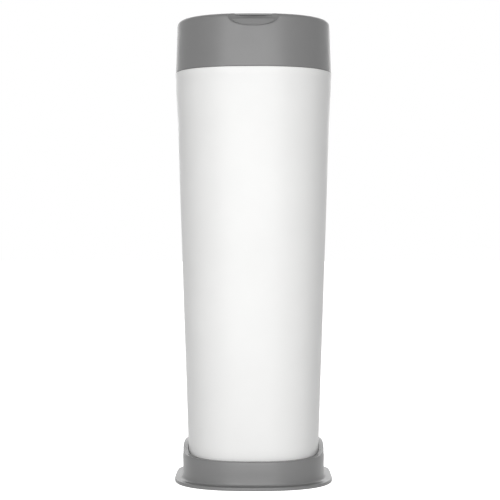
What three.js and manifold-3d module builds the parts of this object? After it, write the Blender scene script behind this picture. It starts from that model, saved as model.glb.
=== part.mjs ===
// Nappy bin: a tall white tub stands in a grey flanged cup, under a grey collar with a flip lid.
// The collar carries a well with the film cassette, and a ring that twists the film shut.
// Millimetres, +Z up. The origin is on the floor at the centre, and the front faces -Y.

import * as THREE from 'three';
import { mergeVertices, toCreasedNormals } from 'three/addons/utils/BufferGeometryUtils.js';
import Module from 'manifold-3d';

const wasm = await Module();
wasm.setup();

// Plan outline of the shells: |x|^power + |y|^power = reach^power, with four soft corners
const planPower = 2.45;
const flangeRearPower = 7;
const cornerAngles = [225, 315, 45, 135];

// Steps round a body and along a corner
const shellSteps = 48;
const roundSteps = 40;
const smallSteps = 12;
const cornerSteps = 4;
const seatSteps = 6;
const edgeSteps = 3;

// Fits that several pieces share
const seatGap = 0.3;
const slideGap = 0.6;
const cutOverrun = 2;
const joinOverlap = 1;

// Tub
const tubHeight = 537.7;
const tubWall = 3;
const tubBandReach = 108;
const tubBandProud = 2.3;
const tubTaper = 15.8;
const tubFootRound = 22;
const tubBandHeight = 23;
const tubBandStep = 36;
const tubBead = 0.7;
const tubBeadHeight = 3;
const tubLipRound = 0.6;

// Base cup
const footProud = 0.5;
const footRadius = 5.5;
const footSink = 1.5;
const flangeProud = 1.5;
const flangeThickness = 4.4;
const flangeEdgeRound = 1.2;
const cupGap = 5;
const cupWall = 3.2;
const cupDraft = 0.4;
const cupFloorRise = 26.5;
const cupFloorThickness = 3;
const cupFootFillet = 4;
const cupRimRise = 11.1;
const cupSeatDrop = 5;
const cupRimRound = 1.4;
const cupRimLean = 7;
const cupRimStep = 11.5;
const cupRimStepFront = 30;
const cupRimStepRear = 40;
const cupRibThickness = 2.6;
const cupRibHeight = 22;
const cupRibAngles = [0, 90];

// Collar
const collarHeight = 71.2;
const collarFlush = 0.2;
const collarDraft = 2.2;
const collarWall = 3;
const collarFootThickness = 3;
const shoulderWidth = 7;
const shoulderHeight = 5.5;
const ledgeWidth = 9;
const ledgeThickness = 4.2;
const ledgeLap = 2;
const skirtDepth = 12;
const skirtWall = 2.4;
const sealHeight = 3;
const sealSink = 1.2;
const sealBelow = 5;
const bossRadius = 4;
const bossInset = 5.4;

// Finger scoop in the collar's front shoulder
const scoopHalfWidth = 36;
const scoopDrop = 15.5;
const scoopDepth = 12;
const scoopBacking = 3;
const scoopSteps = 32;

// Flip lid and its hinge
const lidGap = 0.8;
const lidThickness = 2.6;
const lidEdgeRound = 0.9;
const lidCrown = 1.5;
const lidCrownShares = [[0.7, 0.51], [0.35, 0.88], [0, 1]];
const hingeRadius = 4.5;
const hingeBarrelHalf = 36;
const hingeEarWidth = 7.4;
const hingeWebDepth = 9;
const hingePinRadius = 1.5;
const hingePinGrip = 9;
const notchSide = 16;
const notchClear = 2;
const notchWall = 2.5;
const panelDish = 1.2;
const panelRimWidth = 7;
const panelLip = 1.2;
const panelLipHeight = 0.8;
const lidSealWidth = 2.2;

// Refill cassette
const cassetteWidth = 30;
const cassetteHeight = 36;
const cassetteWall = 1.4;
const capThickness = 2;
const capSlot = 4.1;
const capLipDepth = 3.3;
const boreWallDrop = 7.3;
const packHeight = 21;
const packInset = 1;

// Twist ring
const ringFit = 1;
const ringWall = 2.4;
const ringThickness = 3;
const ringBoreLap = 5;
const ringEdgeRound = 1;
const gripAngles = [0, 90, 180];
const gripLength = 20;
const gripWidth = 8;
const gripHeight = 10;
const gripInset = 3.4;
const headRoom = 2.7;

// Film cutter on the twist ring
const cutterAngle = 270;
const cutterHouseWidth = 18;
const cutterHouseHeight = 4.9;
const cutterHouseReach = 14;
const cutterHouseLap = 9;
const cutterHouseWall = 2.5;
const cutterTravel = 5;
const cutterStemLength = 4.2;
const cutterStemWidth = 8;
const cutterStemShort = 1.6;
const thumbThickness = 2.5;
const thumbWidth = 14;
const thumbLap = 1.8;
const thumbTail = 10;
const bladeThickness = 0.8;
const bladeWidth = 2.9;
const bladeInsert = 3.6;
const bladeDrop = 6;
const bladeSlant = 3.4;

// Cassette deck
const deckWall = 2;
const deckFloorThickness = 3;
const deckBoreLap = 6;
const deckFlangeDrop = 18.3;
const deckFlangeThickness = 3;
const deckLipWidth = 5;
const deckLipThickness = 2.5;
const screwRadius = 1.6;
const screwHeadRadius = 3.2;
const screwHeadHeight = 2;
const screwLength = 12;

// Ring of springy fingers under the deck
const fingerCount = 8;
const fingerRingWidth = 8;
const fingerRingThickness = 5;
const fingerLength = 34;
const fingerRootWidth = 15;
const fingerTipWidth = 9;
const fingerThickness = 1.6;
const fingerDroop = 32;
const fingerRootLap = 1.6;

// Film pulled down through the mouth
const filmThickness = 0.8;
const filmClear = 0.75;
const filmFunnelDraw = 5;
const filmFingerClear = 3.5;
const filmBelly = 36;
const filmKnot = 12;
const filmDrop = 170;
const filmSteps = 24;
const filmBellyShares = [[0.8, 0.1], [0.97, 0.25], [1, 0.38], [0.86, 0.52], [0.5, 0.63], [0.22, 0.7]];
const filmKnotShares = [[0, 1], [1, 1], [0.8, 0.94], [0.5, 0.88], [0.95, 0.82], [1, 0.78], [0.6, 0.73]];

// Heights that follow from the sizes above
const flangeBottom = footProud;
const flangeTop = flangeBottom + flangeThickness;
const cupFloorTop = flangeBottom + cupFloorRise;
const cupFloorBottom = cupFloorTop - cupFloorThickness;
const tubBottom = cupFloorTop + seatGap;
const tubTop = tubBottom + tubHeight;
const collarBottom = tubTop + seatGap;
const shoulderTop = collarBottom + collarHeight;
const lidBottom = shoulderTop - lidThickness;
const ledgeTop = lidBottom - seatGap;
const ledgeBottom = ledgeTop - ledgeThickness;
const panelTop = lidBottom - seatGap;
const panelBottom = ledgeBottom + slideGap;
const thumbTop = panelBottom - headRoom;
const thumbBottom = thumbTop - thumbThickness;
const cutterHouseTop = thumbBottom - cutterTravel - seatGap;
const ringTop = cutterHouseTop - cutterHouseHeight;
const ringBottom = ringTop - ringThickness;
const cassetteTop = ringBottom - seatGap;
const cassetteBottom = cassetteTop - cassetteHeight;
const deckFloorTop = cassetteBottom - seatGap;
const deckFloorBottom = deckFloorTop - deckFloorThickness;
const deckTop = ledgeBottom - seatGap;
const deckFlangeTop = deckTop - deckFlangeDrop;
const deckFlangeBottom = deckFlangeTop - deckFlangeThickness;
const fingerRingTop = deckFloorBottom - seatGap;
const fingerRingBottom = fingerRingTop - fingerRingThickness;

// Reaches and radii that follow from the sizes above
const tubShoulderReach = tubBandReach - tubBandProud;
const tubFootReach = tubShoulderReach - tubTaper;
const cupInnerReach = tubFootReach + cupGap;
const cupWallReach = cupInnerReach + cupWall;
const flangeReach = tubBandReach + flangeProud;
const tubInnerReach = tubBandReach - tubWall;
const skirtReach = tubInnerReach - slideGap;
const skirtInnerReach = skirtReach - skirtWall;
const collarFootReach = tubBandReach + collarFlush;
const collarTopReach = collarFootReach - collarDraft;
const recessReach = collarTopReach - shoulderWidth;
const lidReach = recessReach - lidGap;
const ledgeReach = recessReach - ledgeWidth;
const wellOuterRadius = ledgeReach - ledgeLap;
const wellRadius = wellOuterRadius - deckWall;
const ringRadius = wellRadius - slideGap;
const ringInnerRadius = ringRadius - ringWall;
const cassetteRadius = ringInnerRadius - ringFit;
const cassetteBore = cassetteRadius - cassetteWidth;
const ringBore = cassetteBore + ringBoreLap;
const deckBore = cassetteBore + deckBoreLap;
const capBore = cassetteBore + cassetteWall + capSlot;

// Places that follow from the sizes above
const hingeY = recessReach;
const hingeZ = shoulderTop - hingeRadius;
const earStart = hingeBarrelHalf + slideGap;
const earEnd = earStart + hingeEarWidth;
const notchHalf = earEnd + notchSide;
const notchFront = hingeY - hingeRadius - notchClear;
const notchFloor = hingeZ - hingeRadius - notchClear;
const screwReach = collarTopReach - collarWall - bossInset;
const stemStart = ringBore - cutterHouseReach + cutterHouseWall + seatGap;
const bladeStart = stemStart + (cutterStemLength - bladeWidth) / 2;

// Point of the plan outline of a given reach in a given direction
function planPoint(reach, degrees, power = planPower) {
  const angle = THREE.MathUtils.degToRad(degrees);
  const across = Math.abs(Math.cos(angle)) ** power;
  const along = Math.abs(Math.sin(angle)) ** power;
  const radius = reach / (across + along) ** (1 / power);
  return [radius * Math.cos(angle), radius * Math.sin(angle)];
}

// Point between the cup's wall and the flange's edge, whose plan is squarer towards the rear
function flangePoint(reach, degrees) {
  const share = (reach - cupWallReach) / (flangeReach - cupWallReach);
  const rear = Math.sin(THREE.MathUtils.degToRad(degrees)) > 0;
  const wall = planPoint(cupWallReach, degrees);
  const rim = planPoint(flangeReach, degrees, rear ? flangeRearPower : planPower);
  return wall.map((value, axis) => value + (rim[axis] - value) * share);
}

// Points of a round corner in a profile, between two angles in degrees
function corner(centre, radii, from, to, steps) {
  const [centreReach, centreHeight] = centre;
  const [reachRadius, heightRadius] = radii;
  const points = [];
  for (let step = 0; step <= steps; step += 1) {
    const angle = THREE.MathUtils.degToRad(from + ((to - from) * step) / steps);
    points.push([
      centreReach + reachRadius * Math.cos(angle),
      centreHeight + heightRadius * Math.sin(angle),
    ]);
  }
  return points;
}

// Points of a small round edge in a profile
function edge(centreReach, centreHeight, radius, from, to) {
  return corner([centreReach, centreHeight], [radius, radius], from, to, edgeSteps);
}

// Body turned about Z from a profile of [reach, height] points
function turned(profile, steps) {
  const points = profile.map(([reach, height]) => new THREE.Vector2(reach, height));
  const geometry = new THREE.LatheGeometry(points, steps);
  return geometry.rotateX(Math.PI / 2);
}

// Body turned from a profile that closes on itself, such as a ring
function turnedRing(profile, steps) {
  return turned([...profile, profile[0]], steps);
}

// Moves each vertex of a body to where a function of x, y and z puts it
function reshaped(geometry, move) {
  const position = geometry.attributes.position;
  for (let index = 0; index < position.count; index += 1) {
    const place = move(position.getX(index), position.getY(index), position.getZ(index));
    position.setXYZ(index, ...place);
  }
  return geometry;
}

// Pulls a turned body out to the rounded-square plan
function squared(geometry) {
  return reshaped(geometry, (x, y, z) => {
    const radius = Math.hypot(x, y);
    const norm = (Math.abs(x) ** planPower + Math.abs(y) ** planPower) ** (1 / planPower);
    const stretch = norm > 0 ? radius / norm : 1;
    return [x * stretch, y * stretch, z];
  });
}

// Box between two opposite corners
function block(low, high) {
  const size = high.map((value, axis) => value - low[axis]);
  const middle = high.map((value, axis) => (value + low[axis]) / 2);
  return new THREE.BoxGeometry(...size).translate(...middle);
}

// Upright cylinder between two heights
function post(x, y, radius, bottom, top) {
  const profile = [[0, bottom], [radius, bottom], [radius, top], [0, top]];
  return turned(profile, smallSteps).translate(x, y, 0);
}

// Cylinder along X between two places
function rod(from, to, y, z, radius) {
  const geometry = new THREE.CylinderGeometry(radius, radius, to - from, smallSteps);
  return geometry.rotateZ(Math.PI / 2).translate((from + to) / 2, y, z);
}

// Outline of [first, second] points as a plate of a given thickness
function plate(outline, thickness) {
  const shape = new THREE.Shape(outline.map(([first, second]) => new THREE.Vector2(first, second)));
  return new THREE.ExtrudeGeometry(shape, { depth: thickness, bevelEnabled: false });
}

// Outline of [radius, height] points as an upright plate in the +X direction
function uprightPlate(outline, thickness) {
  return plate(outline, thickness).rotateX(Math.PI / 2).translate(0, thickness / 2, 0);
}

function turnedTo(geometry, degrees) {
  return geometry.rotateZ(THREE.MathUtils.degToRad(degrees));
}

// Closed body for joining and cutting
function toSolid(geometry) {
  const bare = geometry.clone();
  bare.deleteAttribute('normal');
  bare.deleteAttribute('uv');
  const merged = mergeVertices(bare);
  const corners = merged.index.array;
  const kept = [];
  for (let index = 0; index < corners.length; index += 3) {
    const [a, b, c] = corners.slice(index, index + 3);
    if (a !== b && b !== c && c !== a) {
      kept.push(a, b, c);
    }
  }
  return new wasm.Manifold(new wasm.Mesh({
    numProp: 3,
    vertProperties: Float32Array.from(merged.attributes.position.array),
    triVerts: Uint32Array.from(kept),
  }));
}

function toGeometry(solid) {
  const mesh = solid.getMesh();
  const geometry = new THREE.BufferGeometry();
  geometry.setAttribute('position', new THREE.BufferAttribute(mesh.vertProperties, 3));
  geometry.setIndex(new THREE.BufferAttribute(mesh.triVerts, 1));
  geometry.computeVertexNormals();
  return geometry;
}

function joined(first, ...others) {
  return others.reduce((whole, geometry) => whole.add(toSolid(geometry)), toSolid(first));
}

function cutBy(solid, ...cutters) {
  return cutters.reduce((whole, geometry) => whole.subtract(toSolid(geometry)), solid);
}

// Height of the cup's rim: it leans gently up to the back, with a smooth rise at the sides
function cupRimHeight(y) {
  const lean = (cupRimLean * (y + cupWallReach)) / (2 * cupWallReach);
  const rise = cupRimStep * THREE.MathUtils.smoothstep(y, -cupRimStepFront, cupRimStepRear);
  return cupFloorTop + cupRimRise + lean + rise;
}

// Reach of the tub's outer side at a height above its foot round
function tubReachAt(height) {
  const taperTop = tubTop - tubBandHeight - tubBandStep;
  const rise = (height - tubBottom) / (taperTop - tubBottom);
  return tubFootReach + (tubShoulderReach - tubFootReach) * rise;
}

// Turn of the seat's round at a share of the way from the cup's floor up to a height
function seatTurn(height, share) {
  const turns = [cupFloorTop, height].map((level) => {
    return Math.asin(Math.min((level - tubBottom - tubFootRound) / (tubFootRound + slideGap), 0));
  });
  return THREE.MathUtils.lerp(...turns, share);
}

// Reach and height of the seat that follows the tub's rounded foot
function seatPoint(topHeight, share) {
  const roundHeight = tubBottom + tubFootRound;
  const roundReach = tubReachAt(roundHeight) - tubFootRound;
  const round = tubFootRound + slideGap;
  const turn = seatTurn(topHeight, share);
  return [roundReach + round * Math.cos(turn), roundHeight + round * Math.sin(turn)];
}

// Base cup with its flange, its underside ribs and a seat round the tub's foot
function baseCup() {
  const rimTop = cupFloorTop + cupRimRise;
  const rimReach = cupWallReach - cupDraft;
  const seatTop = rimTop - cupSeatDrop;
  const seatPoints = [];
  for (let step = 0; step <= seatSteps; step += 1) {
    seatPoints.push(seatPoint(seatTop, 1 - step / seatSteps));
  }
  const body = turned([
    [0, cupFloorBottom],
    [cupInnerReach, cupFloorBottom],
    [cupInnerReach, flangeBottom],
    [flangeReach - flangeEdgeRound, flangeBottom],
    [flangeReach, flangeBottom + flangeEdgeRound],
    [flangeReach, flangeTop - flangeEdgeRound],
    [flangeReach - flangeEdgeRound, flangeTop],
    ...edge(cupWallReach + cupFootFillet, flangeTop + cupFootFillet, cupFootFillet, 270, 180),
    ...edge(rimReach - cupRimRound, rimTop - cupRimRound, cupRimRound, 0, 90),
    ...seatPoints,
    [0, cupFloorTop],
  ], shellSteps);
  reshaped(body, (turnedX, turnedY, z) => {
    const reach = Math.hypot(turnedX, turnedY);
    const degrees = THREE.MathUtils.radToDeg(Math.atan2(turnedY, turnedX));
    const [x, y] = reach > cupWallReach ? flangePoint(reach, degrees) : planPoint(reach, degrees);
    const lift = cupRimHeight(y) - rimTop;
    if (z > seatTop + seatGap) {
      return [x, y, z + lift];
    }
    if (z < cupFloorTop + seatGap || reach > cupInnerReach) {
      return [x, y, z];
    }
    const share = seatTurn(z, 1) - seatTurn(cupFloorTop, 1);
    const fullShare = seatTurn(seatTop, 1) - seatTurn(cupFloorTop, 1);
    const [seatedReach, seatedHeight] = seatPoint(seatTop + lift, share / fullShare);
    return [...planPoint(seatedReach, degrees), seatedHeight];
  });

  const undersideRibs = cupRibAngles.map((degrees) => {
    const reach = Math.hypot(...planPoint(cupInnerReach, degrees)) + joinOverlap;
    const low = [-reach, -cupRibThickness / 2, cupFloorBottom - cupRibHeight];
    const high = [reach, cupRibThickness / 2, cupFloorBottom + joinOverlap];
    return turnedTo(block(low, high), degrees);
  });

  const footHoles = footPlaces().map(([x, y]) => {
    return post(x, y, footRadius + seatGap, flangeBottom - cutOverrun, flangeBottom + footSink);
  });
  return toGeometry(cutBy(joined(body, ...undersideRibs), ...footHoles));
}

// Feet sit under the flange's four corners
function footPlaces() {
  const reach = (cupInnerReach + flangeReach) / 2;
  return cornerAngles.map((degrees) => flangePoint(reach, degrees));
}

// Foot with its standing face at height 0, its edge broken by its own proud height
function rubberFoot() {
  return turned([
    [0, 0],
    [footRadius - footProud, 0],
    [footRadius, footProud],
    [footRadius, flangeBottom + footSink - seatGap],
    [0, flangeBottom + footSink - seatGap],
  ], smallSteps);
}

function tubShell() {
  const bandBottom = tubTop - tubBandHeight;
  const taperTop = bandBottom - tubBandStep;
  const roundHeight = tubBottom + tubFootRound;
  const roundReach = tubReachAt(roundHeight) - tubFootRound;
  const innerRound = tubFootRound - tubWall;
  const beadReach = tubBandReach + tubBead;
  return squared(turned([
    [0, tubBottom],
    ...corner([roundReach, roundHeight], [tubFootRound, tubFootRound], -90, 0, cornerSteps),
    [tubShoulderReach, taperTop],
    [tubBandReach, bandBottom],
    [tubBandReach, tubTop - tubBeadHeight],
    [beadReach, tubTop - tubBeadHeight + tubBead],
    [beadReach, tubTop - tubLipRound],
    [beadReach - tubLipRound, tubTop],
    [tubInnerReach, tubTop],
    [tubInnerReach, bandBottom],
    [tubShoulderReach - tubWall, taperTop],
    ...corner([roundReach, roundHeight], [innerRound, innerRound], 0, -90, cornerSteps),
    [0, tubBottom + tubWall],
  ], shellSteps));
}

// Ellipsoid that hollows the collar's front shoulder, grown by a wall
function scoopBody(wall) {
  const frontReach = collarTopReach;
  const ball = new THREE.SphereGeometry(1, scoopSteps, scoopSteps / 2);
  ball.rotateX(Math.PI / 2);
  ball.scale(scoopHalfWidth + wall, scoopDepth + wall, scoopDrop + wall);
  return ball.translate(0, -frontReach, shoulderTop);
}

// Outer side of the collar from its foot to the end of its round shoulder
function collarOuter() {
  const shoulderCentre = [recessReach, shoulderTop - shoulderHeight];
  return [
    [collarFootReach, collarBottom],
    ...corner(shoulderCentre, [shoulderWidth, shoulderHeight], 0, 90, cornerSteps),
  ];
}

// Collar shell: the skirt drops into the tub's mouth, and the ledge carries the lid's edge
function collarShell() {
  const sealTop = tubTop - sealBelow;
  const sealBottom = sealTop - sealHeight;
  const shell = squared(turnedRing([
    [skirtReach, tubTop - skirtDepth],
    [skirtReach, sealBottom],
    [skirtReach - sealSink, sealBottom],
    [skirtReach - sealSink, sealTop],
    [skirtReach, sealTop],
    [skirtReach, collarBottom],
    ...collarOuter(),
    [recessReach, ledgeTop],
    [ledgeReach, ledgeTop],
    [ledgeReach, ledgeBottom],
    [collarTopReach - collarWall, ledgeBottom],
    [collarFootReach - collarWall, collarBottom + collarFootThickness],
    [skirtInnerReach, collarBottom + collarFootThickness],
    [skirtInnerReach, tubTop - skirtDepth],
  ], shellSteps));

  const envelope = toSolid(squared(turned([
    [0, collarBottom],
    ...collarOuter(),
    [0, shoulderTop],
  ], shellSteps)));
  const belowLid = toSolid(block(
    [-collarFootReach, -collarFootReach, collarBottom],
    [collarFootReach, collarFootReach, ledgeTop],
  ));
  const scoopBack = toSolid(scoopBody(scoopBacking)).intersect(envelope).intersect(belowLid);
  const hingeBlock = toSolid(block(
    [-notchHalf - notchWall, notchFront - notchWall, notchFloor - notchWall],
    [notchHalf + notchWall, collarFootReach, ledgeTop],
  )).intersect(envelope);

  const bosses = screwPlaces().map(([x, y]) => {
    return post(x, y, bossRadius, deckFlangeTop + seatGap, ledgeBottom + joinOverlap);
  });
  const ears = [-1, 1].map((side) => {
    const from = Math.min(side * earStart, side * earEnd);
    const to = Math.max(side * earStart, side * earEnd);
    const stem = block(
      [from, hingeY - hingeRadius, notchFloor - joinOverlap],
      [to, hingeY + hingeRadius, hingeZ],
    );
    return toSolid(rod(from, to, hingeY, hingeZ, hingeRadius)).add(toSolid(stem));
  });
  const pinHoles = [-1, 1].map((side) => {
    const from = side * (earStart - cutOverrun);
    const to = side * (earEnd + cutOverrun);
    return rod(Math.min(from, to), Math.max(from, to), hingeY, hingeZ, hingePinRadius + seatGap);
  });
  const screwHoles = screwPlaces().map(([x, y]) => {
    const top = deckFlangeBottom + screwLength + seatGap;
    return post(x, y, screwRadius + seatGap, deckFlangeTop - cutOverrun, top);
  });
  const notch = block(
    [-notchHalf, notchFront, notchFloor],
    [notchHalf, collarFootReach + cutOverrun, shoulderTop + cutOverrun],
  );

  let collar = joined(shell, ...bosses).add(scoopBack).add(hingeBlock);
  collar = cutBy(collar, scoopBody(0), notch);
  collar = ears.reduce((whole, ear) => whole.add(ear), collar);
  return toGeometry(cutBy(collar, ...pinHoles, ...screwHoles));
}

// Deck screws stand in the plan's four corners
function screwPlaces() {
  return cornerAngles.map((degrees) => planPoint(screwReach, degrees));
}

function rimSeal() {
  const sealTop = tubTop - sealBelow - seatGap;
  const sealBottom = sealTop - sealHeight + 2 * seatGap;
  const inner = skirtReach - sealSink + seatGap;
  const outer = tubInnerReach - seatGap;
  return squared(turnedRing([
    [inner, sealBottom],
    [outer, sealBottom],
    [outer, sealTop],
    [inner, sealTop],
  ], shellSteps));
}

// Deck: a round well for cassette and ring, a flange for the screws and a lip under the ledge
function cassetteDeck() {
  const well = turnedRing([
    [deckBore, deckFloorBottom],
    [wellOuterRadius, deckFloorBottom],
    [wellOuterRadius, deckTop],
    [wellRadius, deckTop],
    [wellRadius, deckFloorTop],
    [deckBore, deckFloorTop],
  ], roundSteps);
  const flangeEdge = collarTopReach - collarWall - slideGap;
  const flange = squared(turned([
    [0, deckFlangeBottom],
    [flangeEdge, deckFlangeBottom],
    [flangeEdge, deckFlangeTop],
    [0, deckFlangeTop],
  ], shellSteps));
  const lipEdge = wellOuterRadius + deckLipWidth;
  const lip = squared(turned([
    [0, deckTop - deckLipThickness],
    [lipEdge, deckTop - deckLipThickness],
    [lipEdge, deckTop],
    [0, deckTop],
  ], shellSteps));
  const wellHole = turned([
    [0, deckFlangeBottom - cutOverrun],
    [wellRadius + joinOverlap, deckFlangeBottom - cutOverrun],
    [wellRadius + joinOverlap, deckTop + cutOverrun],
    [0, deckTop + cutOverrun],
  ], roundSteps);
  const lipBottom = deckTop - deckLipThickness - cutOverrun;
  const scoopSide = scoopHalfWidth + scoopBacking + slideGap;
  const scoopBack = -collarTopReach + scoopDepth + scoopBacking + slideGap;
  const scoopRoom = block(
    [-scoopSide, -lipEdge - cutOverrun, lipBottom],
    [scoopSide, scoopBack, deckTop + cutOverrun],
  );
  const hingeSide = notchHalf + notchWall + slideGap;
  const hingeRoom = block(
    [-hingeSide, notchFront - notchWall - slideGap, lipBottom],
    [hingeSide, lipEdge + cutOverrun, deckTop + cutOverrun],
  );
  const screwHoles = screwPlaces().map(([x, y]) => {
    return post(x, y, screwRadius + seatGap, deckFlangeBottom - cutOverrun, deckFlangeTop + cutOverrun);
  });
  const plates = cutBy(joined(flange, lip), wellHole, scoopRoom, hingeRoom, ...screwHoles);
  return toGeometry(plates.add(toSolid(well)));
}

// Screw that points up, its head's seat at height 0
function deckScrew() {
  return turned([
    [0, -screwHeadHeight],
    [screwHeadRadius, -screwHeadHeight],
    [screwHeadRadius, 0],
    [screwRadius, 0],
    [screwRadius, screwLength],
    [0, screwLength],
  ], smallSteps);
}

function gripFingerRing() {
  const inner = deckBore + seatGap;
  const outer = inner + fingerRingWidth;
  const ring = turnedRing([
    [inner, fingerRingBottom],
    [outer, fingerRingBottom],
    [outer, fingerRingTop],
    [inner, fingerRingTop],
  ], roundSteps);
  const fingers = [];
  for (let finger = 0; finger < fingerCount; finger += 1) {
    const outline = [
      [0, -fingerRootWidth / 2],
      [fingerLength, -fingerTipWidth / 2],
      [fingerLength, fingerTipWidth / 2],
      [0, fingerRootWidth / 2],
    ];
    const geometry = plate(outline, fingerThickness);
    geometry.rotateY(THREE.MathUtils.degToRad(fingerDroop));
    geometry.rotateZ(Math.PI);
    geometry.translate(inner + fingerRootLap, 0, fingerRingBottom + fingerThickness);
    fingers.push(turnedTo(geometry, (finger * 360) / fingerCount));
  }
  return toGeometry(joined(ring, ...fingers));
}

// Pin that runs through an ear into the lid's barrel
function hingePin() {
  const length = hingePinGrip + slideGap + hingeEarWidth;
  return rod(-hingePinGrip, length - hingePinGrip, 0, 0, hingePinRadius);
}

// Flip lid with a low crown, and the hinge barrel on a web behind its rear edge
function flipLid() {
  const top = turned([
    [0, lidBottom],
    [lidReach - lidEdgeRound / 2, lidBottom],
    [lidReach, shoulderTop - lidEdgeRound],
    [lidReach - lidEdgeRound, shoulderTop],
    ...lidCrownShares.map(([reachShare, crownShare]) => {
      return [lidReach * reachShare, shoulderTop + lidCrown * crownShare];
    }),
  ], shellSteps);
  squared(top);
  const barrel = rod(-hingeBarrelHalf, hingeBarrelHalf, hingeY, hingeZ, hingeRadius);
  const web = block(
    [-hingeBarrelHalf, hingeY - hingeWebDepth, lidBottom],
    [hingeBarrelHalf, hingeY, shoulderTop],
  );
  const pinHoles = [-1, 1].map((side) => {
    const from = side * (hingeBarrelHalf - hingePinGrip - seatGap);
    const to = side * (hingeBarrelHalf + cutOverrun);
    return rod(Math.min(from, to), Math.max(from, to), hingeY, hingeZ, hingePinRadius + seatGap);
  });
  return toGeometry(cutBy(joined(top, barrel, web), ...pinHoles));
}

// Panel under the lid: a shallow dish with a lip that holds the seal
function lidInnerPanel() {
  const lipReach = ledgeReach - lidSealWidth + panelLip / 2;
  const edge = lipReach - panelLip;
  return squared(turned([
    [0, panelBottom + panelDish],
    [edge - panelRimWidth - panelDish, panelBottom + panelDish],
    [edge - panelRimWidth, panelBottom],
    [lipReach, panelBottom],
    [lipReach, panelBottom + panelLipHeight],
    [edge, panelBottom + panelLipHeight],
    [edge, panelTop],
    [0, panelTop],
  ], roundSteps));
}

function lidSeal() {
  const inner = ledgeReach - lidSealWidth - panelLip / 2 + seatGap;
  const outer = ledgeReach - seatGap;
  const bottom = panelBottom + panelLipHeight + seatGap;
  return squared(turnedRing([
    [inner, bottom],
    [outer - panelLip, bottom],
    [outer, (bottom + panelTop) / 2],
    [outer - panelLip, panelTop],
    [inner, panelTop],
  ], roundSteps));
}

// Twist ring: a skirt round the cassette, a flat top with finger grips and the cutter's housing
function twistRing() {
  const ring = turnedRing([
    [ringInnerRadius, cassetteBottom],
    [ringRadius, cassetteBottom],
    [ringRadius, ringTop - ringEdgeRound],
    [ringRadius - ringEdgeRound, ringTop],
    [ringBore + ringEdgeRound, ringTop],
    [ringBore, ringTop - ringEdgeRound],
    [ringBore, ringBottom],
    [ringInnerRadius, ringBottom],
  ], roundSteps);
  const gripMiddle = ringRadius - gripInset - gripLength / 2;
  const gripOutline = [
    [gripMiddle + gripLength / 2, ringTop - joinOverlap],
    ...corner([gripMiddle, ringTop], [gripLength / 2, gripHeight], 0, 180, 2 * cornerSteps),
    [gripMiddle - gripLength / 2, ringTop - joinOverlap],
  ];
  const grips = gripAngles.map((degrees) => turnedTo(uprightPlate(gripOutline, gripWidth), degrees));

  const house = block(
    [ringBore - cutterHouseReach, -cutterHouseWidth / 2, ringBottom],
    [ringBore + cutterHouseLap, cutterHouseWidth / 2, cutterHouseTop],
  );
  const slotSide = cutterStemWidth / 2 + seatGap;
  const slot = block(
    [stemStart - seatGap, -slotSide, ringBottom - cutOverrun],
    [stemStart + cutterStemLength + seatGap, slotSide, cutterHouseTop + cutOverrun],
  );
  const withHouse = joined(ring, ...grips, turnedTo(house, cutterAngle));
  return toGeometry(cutBy(withHouse, turnedTo(slot, cutterAngle)));
}

// Cutter slider: a stem through the housing and a thumb pad on top, slotted for the blade
function cutterSlider() {
  const stemEnd = stemStart + cutterStemLength;
  const stem = block(
    [stemStart, -cutterStemWidth / 2, ringBottom + cutterStemShort],
    [stemEnd, cutterStemWidth / 2, thumbBottom + joinOverlap],
  );
  const thumb = block(
    [stemStart - thumbLap, -thumbWidth / 2, thumbBottom],
    [stemEnd + thumbTail, thumbWidth / 2, thumbTop],
  );
  const slotSide = bladeThickness / 2 + seatGap;
  const slotTop = ringBottom + cutterStemShort + bladeInsert + seatGap;
  const slot = block(
    [bladeStart - seatGap, -slotSide, ringBottom],
    [bladeStart + bladeWidth + seatGap, slotSide, slotTop],
  );
  return toGeometry(turnedSolid(cutBy(joined(stem, thumb), slot), cutterAngle));
}

function turnedSolid(solid, degrees) {
  return toSolid(turnedTo(toGeometry(solid), degrees));
}

function cutterBlade() {
  const bladeTop = ringBottom + cutterStemShort + bladeInsert;
  const bladeTip = ringBottom - bladeDrop;
  const outline = [
    [bladeStart, bladeTop],
    [bladeStart, bladeTip + bladeSlant],
    [bladeStart + bladeWidth, bladeTip],
    [bladeStart + bladeWidth, bladeTop],
  ];
  return turnedTo(uprightPlate(outline, bladeThickness), cutterAngle);
}

// Cassette tray: the floor and the outer wall of the trough
function cassetteTray() {
  const floorTop = cassetteBottom + cassetteWall;
  const floorBore = cassetteBore + cassetteWall + seatGap;
  const outerTop = cassetteTop - capThickness - seatGap;
  return turnedRing([
    [floorBore, cassetteBottom],
    [cassetteRadius, cassetteBottom],
    [cassetteRadius, outerTop],
    [cassetteRadius - cassetteWall, outerTop],
    [cassetteRadius - cassetteWall, floorTop],
    [floorBore, floorTop],
  ], roundSteps);
}

// Cassette sleeve: the trough's inner wall, which stops short so that the film runs over it
function cassetteSleeve() {
  const sleeveTop = cassetteTop - boreWallDrop;
  return turnedRing([
    [cassetteBore, cassetteBottom],
    [cassetteBore + cassetteWall, cassetteBottom],
    [cassetteBore + cassetteWall, sleeveTop],
    [cassetteBore, sleeveTop],
  ], roundSteps);
}

function cassetteCap() {
  const capBottom = cassetteTop - capThickness;
  return turnedRing([
    [capBore, capBottom - capLipDepth],
    [capBore + cassetteWall, capBottom - capLipDepth],
    [capBore + cassetteWall, capBottom],
    [cassetteRadius, capBottom],
    [cassetteRadius, cassetteTop],
    [capBore, cassetteTop],
  ], roundSteps);
}

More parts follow.
